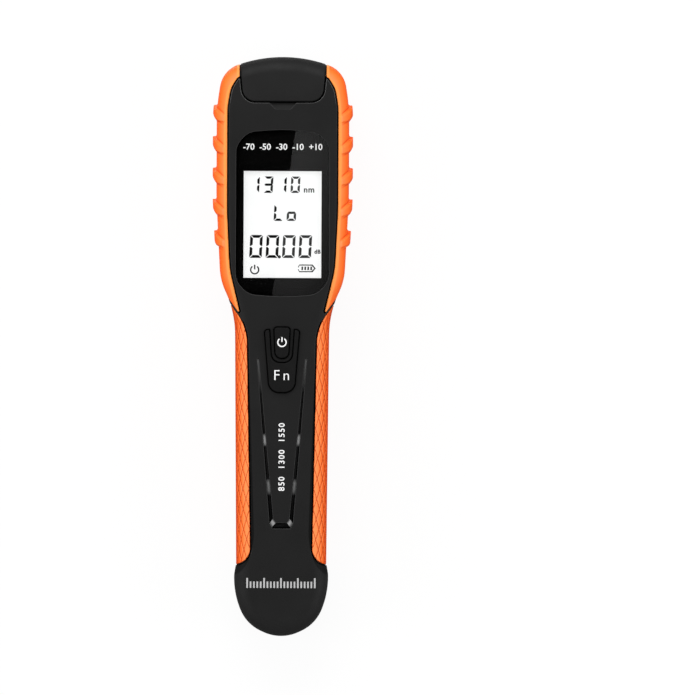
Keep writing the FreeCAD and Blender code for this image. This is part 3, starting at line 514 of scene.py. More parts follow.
def metal(name, dark, light, roughness, metallic):
    """Plated or turned metal with faint handling marks."""
    material, tree, shader = finish(name, roughness, metallic=metallic)
    marks = spread(cloud(tree, 0.4 * MM), roughness - 0.06, roughness + 0.08)
    set_inputs(shader, {"Base Color": clouded(tree, 1.2 * MM, dark, light), "Roughness": marks})
    grain(shader, 0.3 * MM, 0.004 * MM)
    return material


def groove_strip():
    """Black painted shade with grey bands of painted highlight along the grooves and at their
    corners.
    """
    material, tree, shader = finish("groove_painted_light", 0.5, 0.05)
    low, high = GROOVE_SHADE_AND_HIGHLIGHTS[0][0], GROOVE_SHADE_AND_HIGHLIGHTS[-1][0]
    tone = ramp((coordinate(tree, "Y") / MM - low) / (high - low),
                [((y - low) / (high - low), code) for y, code in GROOVE_SHADE_AND_HIGHLIGHTS])
    slant = abs(coordinate(tree, "X")) + (coordinate(tree, "Y") - FACET_CENTRE[1]) * FACET_SLOPE
    facet_highlight = between(abs(slant - FACET_CENTRE[0]), *FACET_FADE)
    set_inputs(shader, {"Base Color": blend(facet_highlight, tone, FACET_HIGHLIGHT)})
    grain(shader, 0.5 * MM, 0.004 * MM)
    return material


def acrylic():
    """Clear polished window."""
    material, tree, shader = finish("clear_acrylic", 0.0)
    set_inputs(shader, {"Base Color": clouded(tree, 20 * MM, "fafbfb", "ffffff"),
                        "Transmission Weight": 1.0, "IOR": 1.49})
    return material


def lit_display():
    """The face of the display, whose glow is its backlight raised as painted light to full white."""
    material, tree, shader = finish("display_white", 0.45, 0.3)
    set_inputs(shader, {"Base Color": clouded(tree, 6 * MM, "8c8e8d", "929493"),
                        "Emission Color": "ffffff", "Emission Strength": DISPLAY_GLOW})
    return material


FINISHES = {
    "soft_orange": bumper_rubber(),
    "grip_orange": grip_rubber(),
    "window_black": acrylic(),
    "groove_painted_light": groove_strip(),
    "display_white": lit_display(),
}
# moulded finishes: two close tones, the size of their cloudiness in mm, roughness, specular
# level, the size and depth of the grain in mm, and for some their edges and patches of painted
# highlight and shade
for finish_name, recipe in {
    # body_black: painted highlights on its edges, painted shade round the keys and on the band by the
    # grips
    "body_black": ("181818", "1b1b1b", 14, 0.58, 0.1, 0.5, 0.02,
                   COVER_EDGE_ROUND, cover_edge_light_and_shade, grip_band_shade, BAND_SHADE),
    # cap_black: painted shade on its edges, darkening the gap round the cap
    "cap_black": ("181818", "1b1b1b", 14, 0.56, 0.12, 0.5, 0.02, EDGE_ROUND, "090909"),
    # key_black: painted shade on its edges and walls
    "key_black": ("101010", "131313", 5, 0.55, 0.085, 0.4, 0.012,
                  KEY_ROUND, KEY_RIM_SHADE, key_wall_shade, KEY_RIM_SHADE),
    "lcd_glass": ("d9dedb", "e2e6e3", 9, 0.2, 0.5, 1, 0.001),
    "frame_white": ("e4e4e0", "ecece8", 9, 0.45, 0.4, 0.5, 0.01),
    "seal_grey": ("2c2c2c", "343434", 3, 0.6, 0.3, 0.3, 0.01),
    "sleeve_white": ("e8e6e0", "f2f0ea", 2, 0.25, 0.5, 0.3, 0.002),
    "switch_black": ("141414", "1c1c1c", 2, 0.45, 0.4, 0.3, 0.008),
    "board_green": ("0c4a2c", "115a37", 5, 0.35, 0.5, 0.4, 0.006),
    "cell_wrap": ("2458a8", "2b62b6", 8, 0.3, 0.5, 0.6, 0.004),
    "label_dark": ("1e1e1e", "222222", 8, 0.5, 0.2, 0.5, 0.004),
    "window_ink": ("060606", "080808", 6, 0.6, 0.0, 0.5, 0.001),
    "paint_black": ("030303", "050505", 3, 0.4, 0.1, 0.3, 0.002),
    "display_ink": ("050505", "0a0a0a", 3, 0.4, 0.2, 0.4, 0.001),
    "legend_white": ("ececec", "f6f6f6", 2, 0.45, 0.3, 0.3, 0.002),
    "legend_grey": ("b0b0b0", "bababa", 2, 0.45, 0.3, 0.3, 0.002),
}.items():
    FINISHES[finish_name] = moulded(finish_name, *recipe)
# metals: two close tones, roughness and how metallic they are
for finish_name, recipe in {
    "steel": ("b4b4b2", "d2d2d0", 0.3, 1.0),
    "nickel": ("b9b6ae", "d8d5cd", 0.24, 1.0),
    "bright_steel": ("e6e6e4", "fafaf8", 0.38, 0.45),
}.items():
    FINISHES[finish_name] = metal(finish_name, *recipe)


# ---- piece workshop
def add_modifier(holder, kind, **settings):
    """A modifier with its settings."""
    modifier = holder.modifiers.new(kind.lower(), kind)
    for name, value in settings.items():
        setattr(modifier, name, value)


def shade_smooth(piece):
    """Shades every face smoothly."""
    piece.data.polygons.foreach_set("use_smooth", [True] * len(piece.data.polygons))


def shade_crisply(piece):
    """Rounds stay smooth and corners crisp, with no change to the mesh's points."""
    shade_smooth(piece)
    add_modifier(piece, "WELD", merge_threshold=WELD)
    add_modifier(piece, "EDGE_SPLIT", split_angle=CORNER_ANGLE)


def in_scene(name, data):
    """A new object in the scene."""
    holder = bpy.data.objects.new(name, data)
    bpy.context.scene.collection.objects.link(holder)
    return holder


def mesh_from(bm, name):
    """The bmesh's work as a mesh. The bmesh is used up."""
    mesh = bpy.data.meshes.new(name)
    bm.to_mesh(mesh)
    bm.free()
    return mesh


def new_piece(bm, name, finish_name, body="case"):
    """The finished mesh as a piece that rides on its body."""
    bmesh.ops.recalc_face_normals(bm, faces=bm.faces)
    piece = in_scene(name, mesh_from(bm, name))
    piece.data.materials.append(FINISHES[finish_name])
    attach(piece, body)
    return piece


def merged_copy(node):
    """A CAD node's mesh with its loose triangles joined."""
    bm = bmesh.new()
    bm.from_mesh(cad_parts[node].data)
    bmesh.ops.remove_doubles(bm, verts=bm.verts, dist=WELD)
    return bm


def shown_mesh(holder):
    """An object's mesh with its modifiers applied. The object is removed."""
    shown = holder.evaluated_get(bpy.context.evaluated_depsgraph_get())
    mesh = bpy.data.meshes.new_from_object(shown)
    bpy.data.objects.remove(holder)
    return mesh


def modified(bm, name, **modifiers):
    """The mesh after modifiers, each given by its kind and settings."""
    holder = in_scene(name, mesh_from(bm, name))
    for kind, settings in modifiers.items():
        add_modifier(holder, kind, **settings)
    done = bmesh.new()
    done.from_mesh(shown_mesh(holder))
    return done


def keep_faces(bm, chosen):
    """Leaves only the faces that chosen accepts."""
    others = [face for face in bm.faces if not chosen(face)]
    bmesh.ops.delete(bm, geom=others, context="FACES")
    bmesh.ops.delete(bm, geom=[v for v in bm.verts if not v.link_faces], context="VERTS")


def extruded(bm, faces):
    """The corners of a new layer of faces that is joined to the old one by walls."""
    made = bmesh.ops.extrude_face_region(bm, geom=faces)
    return [v for v in made["geom"] if isinstance(v, bmesh.types.BMVert)]


def thicken(bm, faces, height):
    """Raises faces to a plate."""
    bmesh.ops.translate(bm, verts=extruded(bm, faces), vec=(0, 0, height))


def plate(bm, corners, layer):
    """A flat plate over an outline. A layer is the heights of a plate's foot and top."""
    rim = [bm.verts.new((x, y, layer[0])) for x, y in corners]
    thicken(bm, [bm.faces.new(rim)], layer[1] - layer[0])


def arc_bar(bm, centre, radius, stroke, start, sweep, layer):
    """A flat bar bent round a centre, from one angle through a sweep, in degrees."""
    low, high = layer
    first = math.radians(start)
    inner, outer = radius - stroke / 2, radius + stroke / 2
    along = Vector((math.cos(first), math.sin(first), 0))
    middle = Vector((*centre, 0))
    section = bm.faces.new([bm.verts.new(middle + along * r + Vector((0, 0, z))) for r, z in
                            ((inner, low), (outer, low), (outer, high), (inner, high))])
    full = sweep == 360
    geometry = [*section.verts, *section.edges]
    if full:
        bm.faces.remove(section)
    else:
        geometry.append(section)
    bmesh.ops.spin(bm, geom=geometry, cent=middle, axis=(0, 0, 1), angle=math.radians(sweep),
                   steps=max(8, int(sweep / 10)), use_merge=full)


def rectangle(x, y, width, height):
    """The corners of a rectangle from its lower left one."""
    return [(x, y), (x + width, y), (x + width, y + height), (x, y + height)]


def slanted(corners, foot):
    """The outline leaning to the right, as display figures do."""
    return [(x + (y - foot) * SEGMENT_SLANT, y) for x, y in corners]


def turned(corners, centre, angle):
    """The outline turned about a centre by an angle in degrees."""
    turn = Matrix.Rotation(math.radians(angle), 2)
    middle = Vector(centre)
    return [tuple(turn @ (Vector(corner) - middle) + middle) for corner in corners]


def write(bm, text, height, centre, layer, turn=0.0, spacing=1.0, weight=0.0, behind=False):
    """Plain characters about a centre, turned by an angle in degrees or read from behind."""
    curve = bpy.data.curves.new("numerals", "FONT")
    curve.body = text
    curve.align_x = "CENTER"
    curve.align_y = "CENTER"
    curve.size = height / 0.7
    curve.space_character = spacing
    curve.resolution_u = 3
    curve.offset = weight
    curve.extrude = (layer[1] - layer[0]) / 2
    mesh = shown_mesh(in_scene("numerals", curve))
    x, y = (sum(f(v.co[axis] for v in mesh.vertices) for f in (min, max)) / 2 for axis in (0, 1))
    mesh.transform(Matrix.Translation((-x, -y, 0)))
    if behind:
        mesh.transform(Matrix.Scale(-1, 4, (1, 0, 0)))
    mesh.transform(Matrix.Translation((*centre, sum(layer) / 2))
                   @ Matrix.Rotation(math.radians(turn), 4, "Z"))
    bm.from_mesh(mesh)


def surface_of(node):
    """A tree that finds points on a node."""
    bm = merged_copy(node)
    tree = BVHTree.FromBMesh(bm)
    bm.free()
    return tree


def top_at(tree, x, y):
    """The highest point of a surface over a place, or None beside it."""
    return tree.ray_cast(Vector((x, y, 1.0)), Vector((0, 0, -1)))[0]


# ---- finishes of the frame's nodes
for node_name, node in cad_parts.items():
    slot_name = node.data.materials[0].name.split(".")[0]
    node.data.materials[0] = FINISHES["cap_black" if node_name == "flip_cap" else slot_name]
    shade_crisply(node)
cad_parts["display_window"].visible_shadow = False


# ---- rubber overmould
def rubber_skin(node):
    """A softened copy of a rubber piece, in an even fine mesh."""
    return modified(merged_copy(node), node + "_skin",
                    REMESH={"mode": "VOXEL", "voxel_size": RUBBER_VOXEL},
                    SMOOTH={"iterations": 1, "factor": 0.5})


def press_diamonds(bm):
    """Presses crossing channels into a skin, so that long diamonds stand between them."""
    bm.normal_update()
    points = np.array([v.co for v in bm.verts])
    to_channel = np.minimum(*to_channels(*points.T)) * 2
    rise = np.clip(to_channel / DIAMOND_CHANNEL, 0, 1)
    rise = rise * rise * (3 - 2 * rise)
    covers = [surface_of("front_cover"), surface_of("rear_cover")]
    for vert, share in zip(bm.verts, rise):
        clear = min(cover.find_nearest(vert.co)[3] for cover in covers) - DIAMOND_MARGIN
        press = min(1.0, max(0.0, clear / DIAMOND_MARGIN))
        vert.co -= vert.normal * DIAMOND_DEPTH * (1 - share) * press


def press_creases(bm):
    """Presses the creases beside the ribs into both faces of a skin."""
    bm.normal_update()
    for vert in bm.verts:
        if abs(vert.normal.z) < CREASED_FACE:
            continue
        for outer, inner in RIB_CREASES:
            inward, turns, off = to_crease(vert.co.x, vert.co.y, outer, inner)
            if 0.5 - RIBS < turns < 0.5 and 0 < inward < 1 and off < 1:
                vert.co.z -= math.copysign(CREASE_DEPTH, vert.normal.z) * (1 - off) * (1 - inward)


def overmould():
    """The ribbed bumpers and the textured grips, in their nodes' places."""
    for side in ("left", "right"):
        for kind, finish_name, press in (("bumper", "soft_orange", press_creases),
                                         ("grip", "grip_orange", press_diamonds)):
            node = f"{kind}_{side}"
            skin = rubber_skin(node)
            press(skin)
            piece = new_piece(skin, f"{kind}_skin_{side}", finish_name)
            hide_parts(node)
            shade_smooth(piece)


def gap_shade_sheet(node, chosen, name, inset=SHADE_SHEET_INSET, width=SHADE_SHEET_WIDTH):
    """A thin black sheet of painted shade on the chosen walls of a piece, a little below their rims.
    """
    bm = merged_copy(node)
    keep_faces(bm, lambda face: chosen(face.normal, face.calc_center_median()))
    bmesh.ops.dissolve_limit(bm, angle_limit=math.radians(1), verts=bm.verts, edges=bm.edges)
    rim = bmesh.ops.inset_region(bm, faces=bm.faces, thickness=inset, use_boundary=True)
    bmesh.ops.delete(bm, geom=rim["faces"], context="FACES")
    bm.normal_update()
    for vert in extruded(bm, list(bm.faces)):
        vert.co += vert.normal * width
    new_piece(bm, name, "paint_black")


def gap_shade_sheets():
    """Sheets of painted shade by the grips' lower and the bumpers' upper ends, and beside the cap."""
    for side, sign in (("left", -1), ("right", 1)):
        grip, bumper = "grip_" + side, "bumper_" + side
        grip_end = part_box(grip)[0].y + GRIP_SHADE_SHEET_REACH
        bumper_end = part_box(bumper)[1].y - BUMPER_SHADE_SHEET_REACH
        # the pieces named seal_ are sheets of painted shade in the gaps
        gap_shade_sheet(grip, lambda normal, middle: normal.y < -0.5 and middle.y < grip_end,
                  "seal_" + grip)
        gap_shade_sheet(bumper, lambda normal, middle: normal.x * sign < -0.9 and middle.y > bumper_end,
                  "seal_" + bumper)
        gap_shade_sheet("front_cover",
                  lambda normal, middle: (CAP_GAP_SHADE_START[0] < middle.x * sign < CAP_GAP_SHADE_END[0]
                                          and CAP_GAP_SHADE_START[1] < middle.y < CAP_GAP_SHADE_END[1]
                                          and normal.y - normal.x * sign > 0.7
                                          and abs(normal.z) < 0.2),
                  "cap_gap_shade_" + side, CAP_GAP_SHADE_INSET, CAP_GAP_SHADE_WIDTH)


def groove_strips():
    """Strips of painted shade and highlight along the floors of the handle's grooves."""
    cover = surface_of("front_cover")
    key_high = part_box("fn_key")[1]
    beside = key_high.x + GROOVE_REACH

    def on_floor(face):
        middle = face.calc_center_median()
        rim = top_at(cover, beside, middle.y)
        depth = rim.z - middle.z if rim else 0
        return (abs(middle.x) < beside and middle.y < key_high.y and face.normal.z > 0.9
                and GROOVE_FILL < depth < 3 * GROOVE_FILL)

    bm = merged_copy("front_cover")
    keep_faces(bm, on_floor)
    thicken(bm, list(bm.faces), GROOVE_FILL)
    new_piece(bm, "groove_strips", "groove_painted_light")


# ---- display
window_low, window_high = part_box("display_window")
view_low = Vector((window_low.x + WINDOW_SIDE_BORDER, window_low.y + WINDOW_FOOT_BORDER))
view_high = Vector((window_high.x - WINDOW_SIDE_BORDER, window_high.y - WINDOW_HEAD_BORDER))
lcd_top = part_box("lcd_panel")[1].z


def outside_view(face):
    """Whether a face lies beside the opening over the display."""
    middle = face.calc_center_median()
    return not (view_low.x < middle.x < view_high.x and view_low.y < middle.y < view_high.y)


def window_print():
    """Black ink on the window's underside, open over the display."""
    bm = merged_copy("display_window")
    keep_faces(bm, lambda face: face.normal.z <= -0.5)
    for corner in (view_low, view_high):
        for point, normal in (((corner.x, 0, 0), (1, 0, 0)), ((0, corner.y, 0), (0, 1, 0))):
            bmesh.ops.bisect_plane(bm, geom=[*bm.verts, *bm.edges, *bm.faces],
                                   plane_co=point, plane_no=normal)
    keep_faces(bm, outside_view)
    bmesh.ops.translate(bm, verts=bm.verts, vec=(0, 0, DISPLAY_LIFT))
    thicken(bm, list(bm.faces), PRINT_THICKNESS)
    new_piece(bm, "window_print", "window_ink")


def display_face():
    """The lit white face of the display."""
    bm = bmesh.new()
    size = view_high - view_low
    low = lcd_top + DISPLAY_LIFT
    plate(bm, rectangle(view_low.x - DISPLAY_OVERLAP, view_low.y - DISPLAY_OVERLAP,
                        size.x + 2 * DISPLAY_OVERLAP, size.y + 2 * DISPLAY_OVERLAP),
          (low, low + PRINT_THICKNESS))
    new_piece(bm, "display_face", "display_white")


def figure(bm, mark, x, y, width, height, stroke, layer):
    """One seven-segment figure with mitred bars, mirrored from three of them."""
    half, gap = stroke / 2, SEGMENT_GAP / 2
    right, top = width / 2, height / 2
    upper = [(gap - right, top), (right - gap, top), (right - stroke - gap, top - stroke),
             (stroke + gap - right, top - stroke)]
    level = [(gap - right, 0), (half + gap - right, half), (right - half - gap, half),
             (right - gap, 0), (right - half - gap, -half), (half + gap - right, -half)]
    upright = [(right, top - gap), (right, gap), (right - half, gap), (right - stroke, half + gap),
               (right - stroke, top - stroke - gap)]
    bars = {"a": (upper, 1, 1), "d": (upper, 1, -1), "g": (level, 1, 1), "b": (upright, 1, 1),
            "c": (upright, 1, -1), "e": (upright, -1, -1), "f": (upright, -1, 1)}
    for key in SEGMENTS_OF[mark]:
        outline, across, up = bars[key]
        corners = [(x + right + across * px, y + top + up * py) for px, py in outline]
        plate(bm, slanted(corners, y), layer)


def power_sign(bm, centre, radius, stroke, layer):
    """The round sign with a bar at its open top."""
    arc_bar(bm, centre, radius, stroke, *POWER_RING, layer)
    foot, height = (share * radius for share in POWER_BAR)
    plate(bm, rectangle(centre[0] - stroke / 2, centre[1] + foot, stroke, height), layer)


def battery_sign(bm, x, y, width, height, layer):
    """An outline with a pointed end and four slanted bars."""
    line, nose, cut = 0.34 * MM, 1.0 * MM, 0.5 * MM
    shaft = width - nose
    middle = y + height / 2
    for foot in (y, y + height - line):
        plate(bm, rectangle(x + cut, foot, shaft - cut, line), layer)
    for side in (1, -1):
        corner = middle + side * height / 2
        waist = middle + side * 0.3 * MM
        plate(bm, [(x + shaft, corner), (x + width, middle), (x + width - 1.4 * line, middle),
                   (x + shaft - line, corner - side * line)], layer)
        plate(bm, [(x, waist), (x + cut, corner), (x + cut, corner - side * line),
                   (x + line, waist)], layer)
    first, pitch, bar_width, margin = x + 1.1 * MM, 0.92 * MM, 0.52 * MM, 0.65 * MM
    for bar in range(4):
        corners = rectangle(first + bar * pitch, y + margin, bar_width, height - 2 * margin)
        plate(bm, slanted(corners, y), layer)


def display_marks():
    """Everything dark on the display: three rows of figures, units and two signs."""
    low = lcd_top + 2 * DISPLAY_LIFT + PRINT_THICKNESS
    layer = (low, low + PRINT_THICKNESS)
    foot, left, right = view_low.y, view_low.x, view_high.x
    bm = bmesh.new()
    for text, row in FIGURE_ROWS.items():
        start, pitch, rise, width, height, stroke = [value * MM for value in row]
        for place, mark in enumerate(text):
            figure(bm, mark, left + start + place * pitch, foot + rise, width, height, stroke, layer)
    point = (POINT_PLACE[0] * MM, foot + POINT_PLACE[1] * MM)
    arc_bar(bm, point, POINT_RADIUS / 2, POINT_RADIUS, 0, 360, layer)
    power_sign(bm, (left + 3.5 * MM, foot + 2.5 * MM), 1.25 * MM, 0.42 * MM, layer)
    battery_sign(bm, right - 7.3 * MM, foot + 1.8 * MM, 5.6 * MM, 2.4 * MM, layer)
    for text, (height, (x, y)) in UNITS.items():
        write(bm, text, height * MM, (x * MM, foot + y * MM), layer, spacing=UNIT_SPACING,
              weight=UNIT_WEIGHT)
    new_piece(bm, "display_marks", "display_ink")


def window_scale():
    """Plain numbers printed above the display."""
    low = window_low.z + 2 * DISPLAY_LIFT + PRINT_THICKNESS
    middle = (0, (view_high.y + window_high.y) / 2 + 1.2 * MM)
    bm = bmesh.new()
    write(bm, "-70  -50  -30  -10  +10", 1.9 * MM, middle, (low, low + PRINT_THICKNESS),
          weight=0.05 * MM)
    new_piece(bm, "window_scale", "legend_white")


# ---- legends
def legend(bm, name, finish_name, node, body="case"):
    """Flat work made about height 0, laid on a node's top as a thin legend."""
    surface = surface_of(node)
    for vert in bm.verts:
        top = top_at(surface, *vert.co.xy)
        if top:
            vert.co.z += top.z
    new_piece(bm, name, finish_name, body)


def ruler(bm, foot, scale, line, layer):
    """A row of level bars across the middle, of which every few one is tall."""
    pitch, count, short, tall, every = scale
    for bar in range(count):
        x = (bar - (count - 1) / 2) * pitch
        plate(bm, rectangle(x - line / 2, foot, line, short if bar % every else tall), layer)


def key_legends():
    """The white signs on the two keys."""
    low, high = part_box("power_key")
    middle = ((low.x + high.x) / 2, (low.y + high.y) / 2 + 0.15 * MM)
    bm = bmesh.new()
    power_sign(bm, middle, 1.3 * MM, 0.38 * MM, LEGEND_LAYER)
    legend(bm, "power_legend", "legend_white", "power_key", "power_key")
    middle = (-0.05 * MM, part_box("fn_key")[0].y + 5.8 * MM)
    bm = bmesh.new()
    write(bm, "Fn", 3.2 * MM, middle, LEGEND_LAYER, spacing=1.35, weight=-0.03 * MM)
    legend(bm, "fn_legend", "legend_white", "fn_key", "fn_key")


def handle_scale():
    """Plain numbers up the handle and level bars across the heel."""
    bm = bmesh.new()
    write(bm, "850  1300  1550", 1.85 * MM, (0, -34.3 * MM), LEGEND_LAYER, turn=90, spacing=1.2,
          weight=0.04 * MM)
    legend(bm, "handle_numbers", "legend_white", "front_cover")
    bm = bmesh.new()
    ruler(bm, HEEL_FOOT, HEEL_SCALE, HEEL_LINE, LEGEND_LAYER)
    legend(bm, "heel_ticks", "legend_grey", "front_cover")


# ---- fasteners
def loose_parts(node):
    """The low and high corners of a node's separate solids."""
    bm = merged_copy(node)
    waiting = set(bm.verts)
    corners = []
    for seed in bm.verts:
        if seed not in waiting:
            continue
        waiting.remove(seed)
        reached = [seed]
        for vert in reached:
            for other in (edge.other_vert(vert) for edge in vert.link_edges):
                if other in waiting:
                    waiting.remove(other)
                    reached.append(other)
        corners.append([Vector([f(v.co[axis] for v in reached) for axis in range(3)])
                        for f in (min, max)])
    bm.free()
    return corners


def socket_screw(radius, head_height, shank_radius, length):
    """A screw along the upright, whose rounded head faces down and has a six-sided recess."""
    bm = bmesh.new()
    bmesh.ops.create_cone(bm, cap_ends=True, segments=36, radius1=radius, radius2=radius,
                          depth=head_height)
    bmesh.ops.translate(bm, verts=bm.verts, vec=(0, 0, head_height / 2))
    rim = [e for e in bm.edges if all(abs(v.co.z) < WELD for v in e.verts)]
    bmesh.ops.bevel(bm, geom=rim, offset=radius * HEAD_ROUND_SHARE, segments=4, profile=0.5,
                    affect="EDGES", material=-1)
    face = min(bm.faces, key=lambda f: f.calc_center_median().z)
    width = max(v.co.xy.length for v in face.verts)
    recess = radius * SOCKET_SHARE
    bmesh.ops.inset_region(bm, faces=[face], thickness=width - recess)
    for vert in face.verts:
        place = vert.co.xy
        sixth = math.atan2(place.y, place.x) % (math.pi / 3) - math.pi / 6
        vert.co.xy = place.normalized() * recess * math.cos(math.pi / 6) / math.cos(sixth)
    bmesh.ops.inset_region(bm, faces=[face], thickness=radius * 0.03,
                           depth=-head_height * SOCKET_DEPTH_SHARE)
    shank = bmesh.ops.create_cone(bm, cap_ends=True, segments=24, radius1=shank_radius,
                                  radius2=shank_radius, depth=length - head_height)
    bmesh.ops.translate(bm, verts=shank["verts"], vec=(0, 0, (length + head_height) / 2))
    return bm


def screws(node, name, head_height, head_share, shank_radius, facing):
    """Every screw of a node with its recess. Heads face down, or towards the cap."""
    bm = bmesh.new()
    for low, high in loose_parts(node):
        size, middle = high - low, (low + high) / 2
        one = socket_screw(size.x / 2 * head_share, head_height, shank_radius,
                           size.z if facing == "down" else size.y)
        if facing == "down":
            place = (middle.x, middle.y, low.z)
        else:
            bmesh.ops.rotate(one, verts=one.verts, cent=(0, 0, 0),
                             matrix=Matrix.Rotation(math.pi / 2, 3, "X"))
            place = (middle.x, high.y, middle.z)
        bmesh.ops.translate(one, verts=one.verts, vec=place)
        bm.from_mesh(mesh_from(one, name))
    piece = new_piece(bm, name, "bright_steel")
    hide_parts(node)
    shade_crisply(piece)


def port_thread():
    """The fine thread round the port's barrel."""
    low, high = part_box("port_adapter")
    centre = Vector(((low.x + high.x) / 2, 0, (low.z + high.z) / 2))
    start, end = high.y - THREAD_LENGTH, high.y - THREAD_PITCH
    root, crest = BARREL_RADIUS - THREAD_RISE / 2, BARREL_RADIUS + THREAD_RISE
    bm = bmesh.new()
    section = [bm.verts.new((centre.x + out, start + along * THREAD_PITCH, centre.z))
               for out, along in ((root, 0), (crest, 0.3), (root, 0.6))]
    face = bm.faces.new(section)
    steps = int((end - start) / THREAD_PITCH * THREAD_STEPS)
    bmesh.ops.spin(bm, geom=[face, *face.verts, *face.edges], cent=centre, axis=(0, 1, 0),
                   dvec=(0, THREAD_PITCH / THREAD_STEPS, 0),
                   angle=steps / THREAD_STEPS * 2 * math.pi, steps=steps)
    shade_crisply(new_piece(bm, "port_thread", "nickel"))


# ---- rear marks
def rear_drawing(bm, layer):
    """The generic marks below the label: two ratings, a level scale and three round marks."""
    for text, (height, (x, y)) in REAR_WORDS.items():
        write(bm, text, height * MM, (x * MM, y * MM), layer, weight=REAR_WEIGHT, behind=True)
    ruler(bm, REAR_FOOT, REAR_SCALE, REAR_LINE, layer)
    left, middle, right = ROUND_MARKS
    for start in (100, 220, 340):
        arc_bar(bm, left, 1.35 * MM, 0.55 * MM, start, 100, layer)
    arc_bar(bm, middle, 1.4 * MM, 0.45 * MM, 0, 360, layer)
    side = 0.9 * MM
    square = rectangle(middle[0] - side / 2, middle[1] - side / 2, side, side)
    plate(bm, turned(square, middle, 45), layer)
    arm, half = 1.6 * MM, 0.3 * MM
    cross = [(half, half), (half, arm), (-half, arm), (-half, half), (-arm, half), (-arm, -half),
             (-half, -half), (-half, -arm), (half, -arm), (half, -half), (arm, -half), (arm, half)]
    plate(bm, turned([(right[0] + x, right[1] + y) for x, y in cross], right, 45), layer)


def rear_marks():
    """The rear cover with its marks engraved, and the black paint that half fills them."""
    bm = bmesh.new()
    rear_drawing(bm, (-MM, ENGRAVING_DEPTH))
    bmesh.ops.remove_doubles(bm, verts=bm.verts, dist=0.0001 * MM)
    bmesh.ops.recalc_face_normals(bm, faces=bm.faces)
    cutter = in_scene("engraver", mesh_from(bm, "engraver"))
    cover = modified(merged_copy("rear_cover"), "rear_cover_engraved",
                     BOOLEAN={"operation": "DIFFERENCE", "solver": "EXACT", "object": cutter})
    bpy.data.objects.remove(cutter)
    piece = new_piece(cover, "rear_cover_engraved", "body_black")
    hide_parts("rear_cover")
    shade_crisply(piece)
    bm = bmesh.new()
    rear_drawing(bm, (ENGRAVING_DEPTH / 2, ENGRAVING_DEPTH))
    new_piece(bm, "rear_paint", "paint_black")


def label_marks():
    """A plain dial, its range in numbers and a row of bars on the rear label."""
    low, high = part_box("rear_label")
    layer = (low.z - LABEL_INK, low.z + LABEL_INK / 2)
    x, y = centre = (0, high.y - 6.6 * MM)
    bm = bmesh.new()
    arc_bar(bm, centre, 3.6 * MM, 0.5 * MM, DIAL_START, DIAL_SWEEP, layer)
    bar = rectangle(x + 2.2 * MM, y - 0.2 * MM, 0.9 * MM, 0.4 * MM)
    for angle in range(DIAL_START, DIAL_START + DIAL_SWEEP + 1, DIAL_STEP):
        plate(bm, turned(bar, centre, angle), layer)
    needle = [(x - 0.35 * MM, y), (x + 0.35 * MM, y), (x, y + 2.9 * MM)]
    plate(bm, turned(needle, centre, NEEDLE_TURN), layer)
    write(bm, "-70 ... +10 dBm     850 - 1650 nm", 1.2 * MM, (0, low.y + 4.5 * MM), layer,
          weight=0.02 * MM, behind=True)
    ruler(bm, low.y + 1.7 * MM, LABEL_SCALE, REAR_LINE, layer)
    new_piece(bm, "label_marks", "legend_white")


# ---- studio
def mixed(tree, share, first, second):
    """One shader that turns into another by a share."""
    return add_node(tree, "MixShader", {0: share, 1: first, 2: second}).outputs[0]


def floor():
    """Pale floor that keeps the meter's shadow and can't be seen from below."""
    bm = bmesh.new()
    bmesh.ops.create_grid(bm, x_segments=1, y_segments=1, size=FLOOR_SIZE,
                          matrix=Matrix.Translation((0, 0, -FLOOR_DROP)))
    piece = in_scene("floor", mesh_from(bm, "floor"))
    material, tree, shader = finish("floor", 0.9, 0.0)
    seen = Field(given(tree, "LightPath", "Is Camera Ray"))
    set_inputs(shader, {"Base Color": blend(seen, "9c9c9c", "f6f6f6")})
    glow = given(tree, "Emission", 0)
    lit = mixed(tree, seen * FLOOR_WHITENESS, shader.outputs[0], glow)
    below = given(tree, "NewGeometry", "Backfacing")
    clear = given(tree, "BsdfTransparent", 0)
    set_inputs(tree.nodes["Material Output"], {"Surface": mixed(tree, below, lit, clear)})
    piece.data.materials.append(material)
    piece.visible_shadow = False
    piece.visible_diffuse = False


def reflected_card(name, corners, height, strength, fading=False):
    """A card that only reflections see, which may fade towards the heel and the right."""
    bm = bmesh.new()
    bm.faces.new([bm.verts.new((x, y, height)) for x, y in corners])
    card = in_scene(name, mesh_from(bm, name))
    material, tree, shader = finish(name, 1.0)
    glow = add_node(tree, "Emission", {"Strength": strength})
    if fading:
        shares = [between(coordinate(tree, axis), low, high) * part
                  for axis, (low, high, part) in CARD_FADES.items()]
        set_inputs(glow, {"Strength": (shares[0] + shares[1] + CARD_REST) * strength})
    set_inputs(tree.nodes["Material Output"], {"Surface": glow.outputs[0]})
    tree.nodes.remove(shader)
    card.data.materials.append(material)
    card.visible_camera = False
    card.visible_diffuse = False
    card.visible_shadow = False


def spared_from_glare(node):
    """A collection that the lamps leave out."""
    spared = bpy.data.collections.new("spared_from_glare")
    spared.objects.link(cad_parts[node])
    spared.collection_objects[0].light_linking.link_state = "EXCLUDE"
    return spared


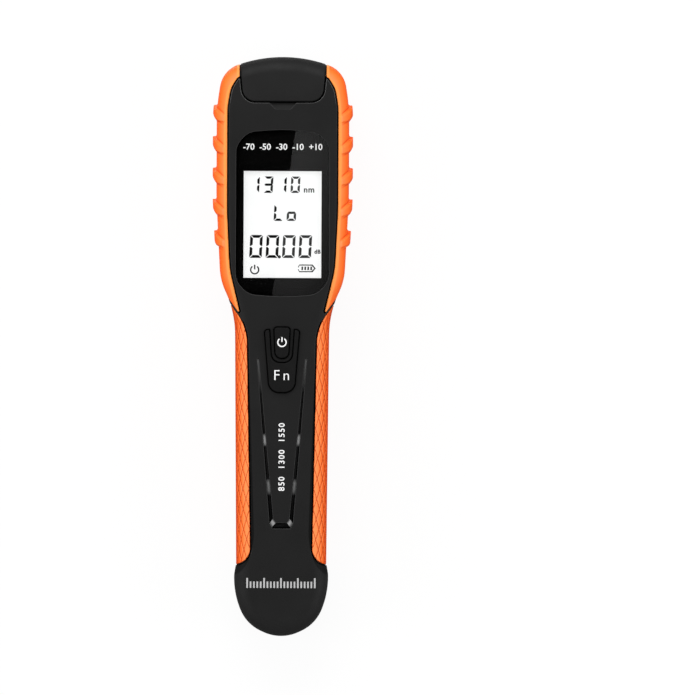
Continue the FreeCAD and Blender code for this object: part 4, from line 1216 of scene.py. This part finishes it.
def lamp(name, place, size, power, spared):
    """A square soft lamp aimed at the meter, which leaves no glare on the spared collection."""
    light = bpy.data.lights.new(name, "AREA")
    light.size = size
    light.energy = power
    holder = in_scene(name, light)
    holder.location = place
    holder.rotation_mode = "QUATERNION"
    holder.rotation_quaternion = (-Vector(place)).to_track_quat("-Z", "Y")
    holder.light_linking.receiver_collection = spared


def sky():
    """A white surround, seen at full white and lighting the meter more softly."""
    world = bpy.data.worlds.new("studio")
    world.use_nodes = True
    tree = world.node_tree
    seen = Field(given(tree, "LightPath", "Is Camera Ray"))
    for ray in ("Is Glossy Ray", "Is Transmission Ray"):
        seen = seen.larger(Field(given(tree, "LightPath", ray)))
    strength = mapped(seen, 0.0, 1.0, SKY_LIGHT, 1.0)
    set_inputs(tree.nodes["Background"], {"Color": "ffffff", "Strength": strength})
    bpy.context.scene.world = world


def camera():
    """Straight above the meter, which lies left of the middle and a little turned."""
    lens = bpy.data.cameras.new("camera")
    lens.sensor_width = SENSOR
    lens.lens = LENS
    lens.clip_end = FAR_CLIP
    holder = in_scene("camera", lens)
    distance = PICTURE_WIDTH * LENS / SENSOR
    holder.location = Vector(PICTURE_CENTRE) + Vector((0, 0, distance))
    holder.rotation_euler = (0, 0, PICTURE_TURN)
    bpy.context.scene.camera = holder


overmould()
gap_shade_sheets()
groove_strips()
window_print()
display_face()
display_marks()
window_scale()
key_legends()
handle_scale()
screws("case_screws", "case_screw_set", CASE_HEAD_HEIGHT, CASE_HEAD_SHARE, CASE_SHANK_RADIUS, "down")
screws("port_screws", "port_screw_set", PORT_HEAD_HEIGHT, 1.0, PORT_SHANK_RADIUS, "cap")
port_thread()
rear_marks()
label_marks()

floor()
sky()
unlit = spared_from_glare("display_window")
for lamp_name, values in LAMPS.items():
    lamp(lamp_name, *values, unlit)
reflected_card("dark_card", DARK_CARD, DARK_CARD_HEIGHT, 0.0)
reflected_card("bright_card", BRIGHT_CARD, BRIGHT_CARD_HEIGHT, BRIGHT_CARD_GLOW, fading=True)
camera()
bpy.context.scene.view_settings.view_transform = "Standard"
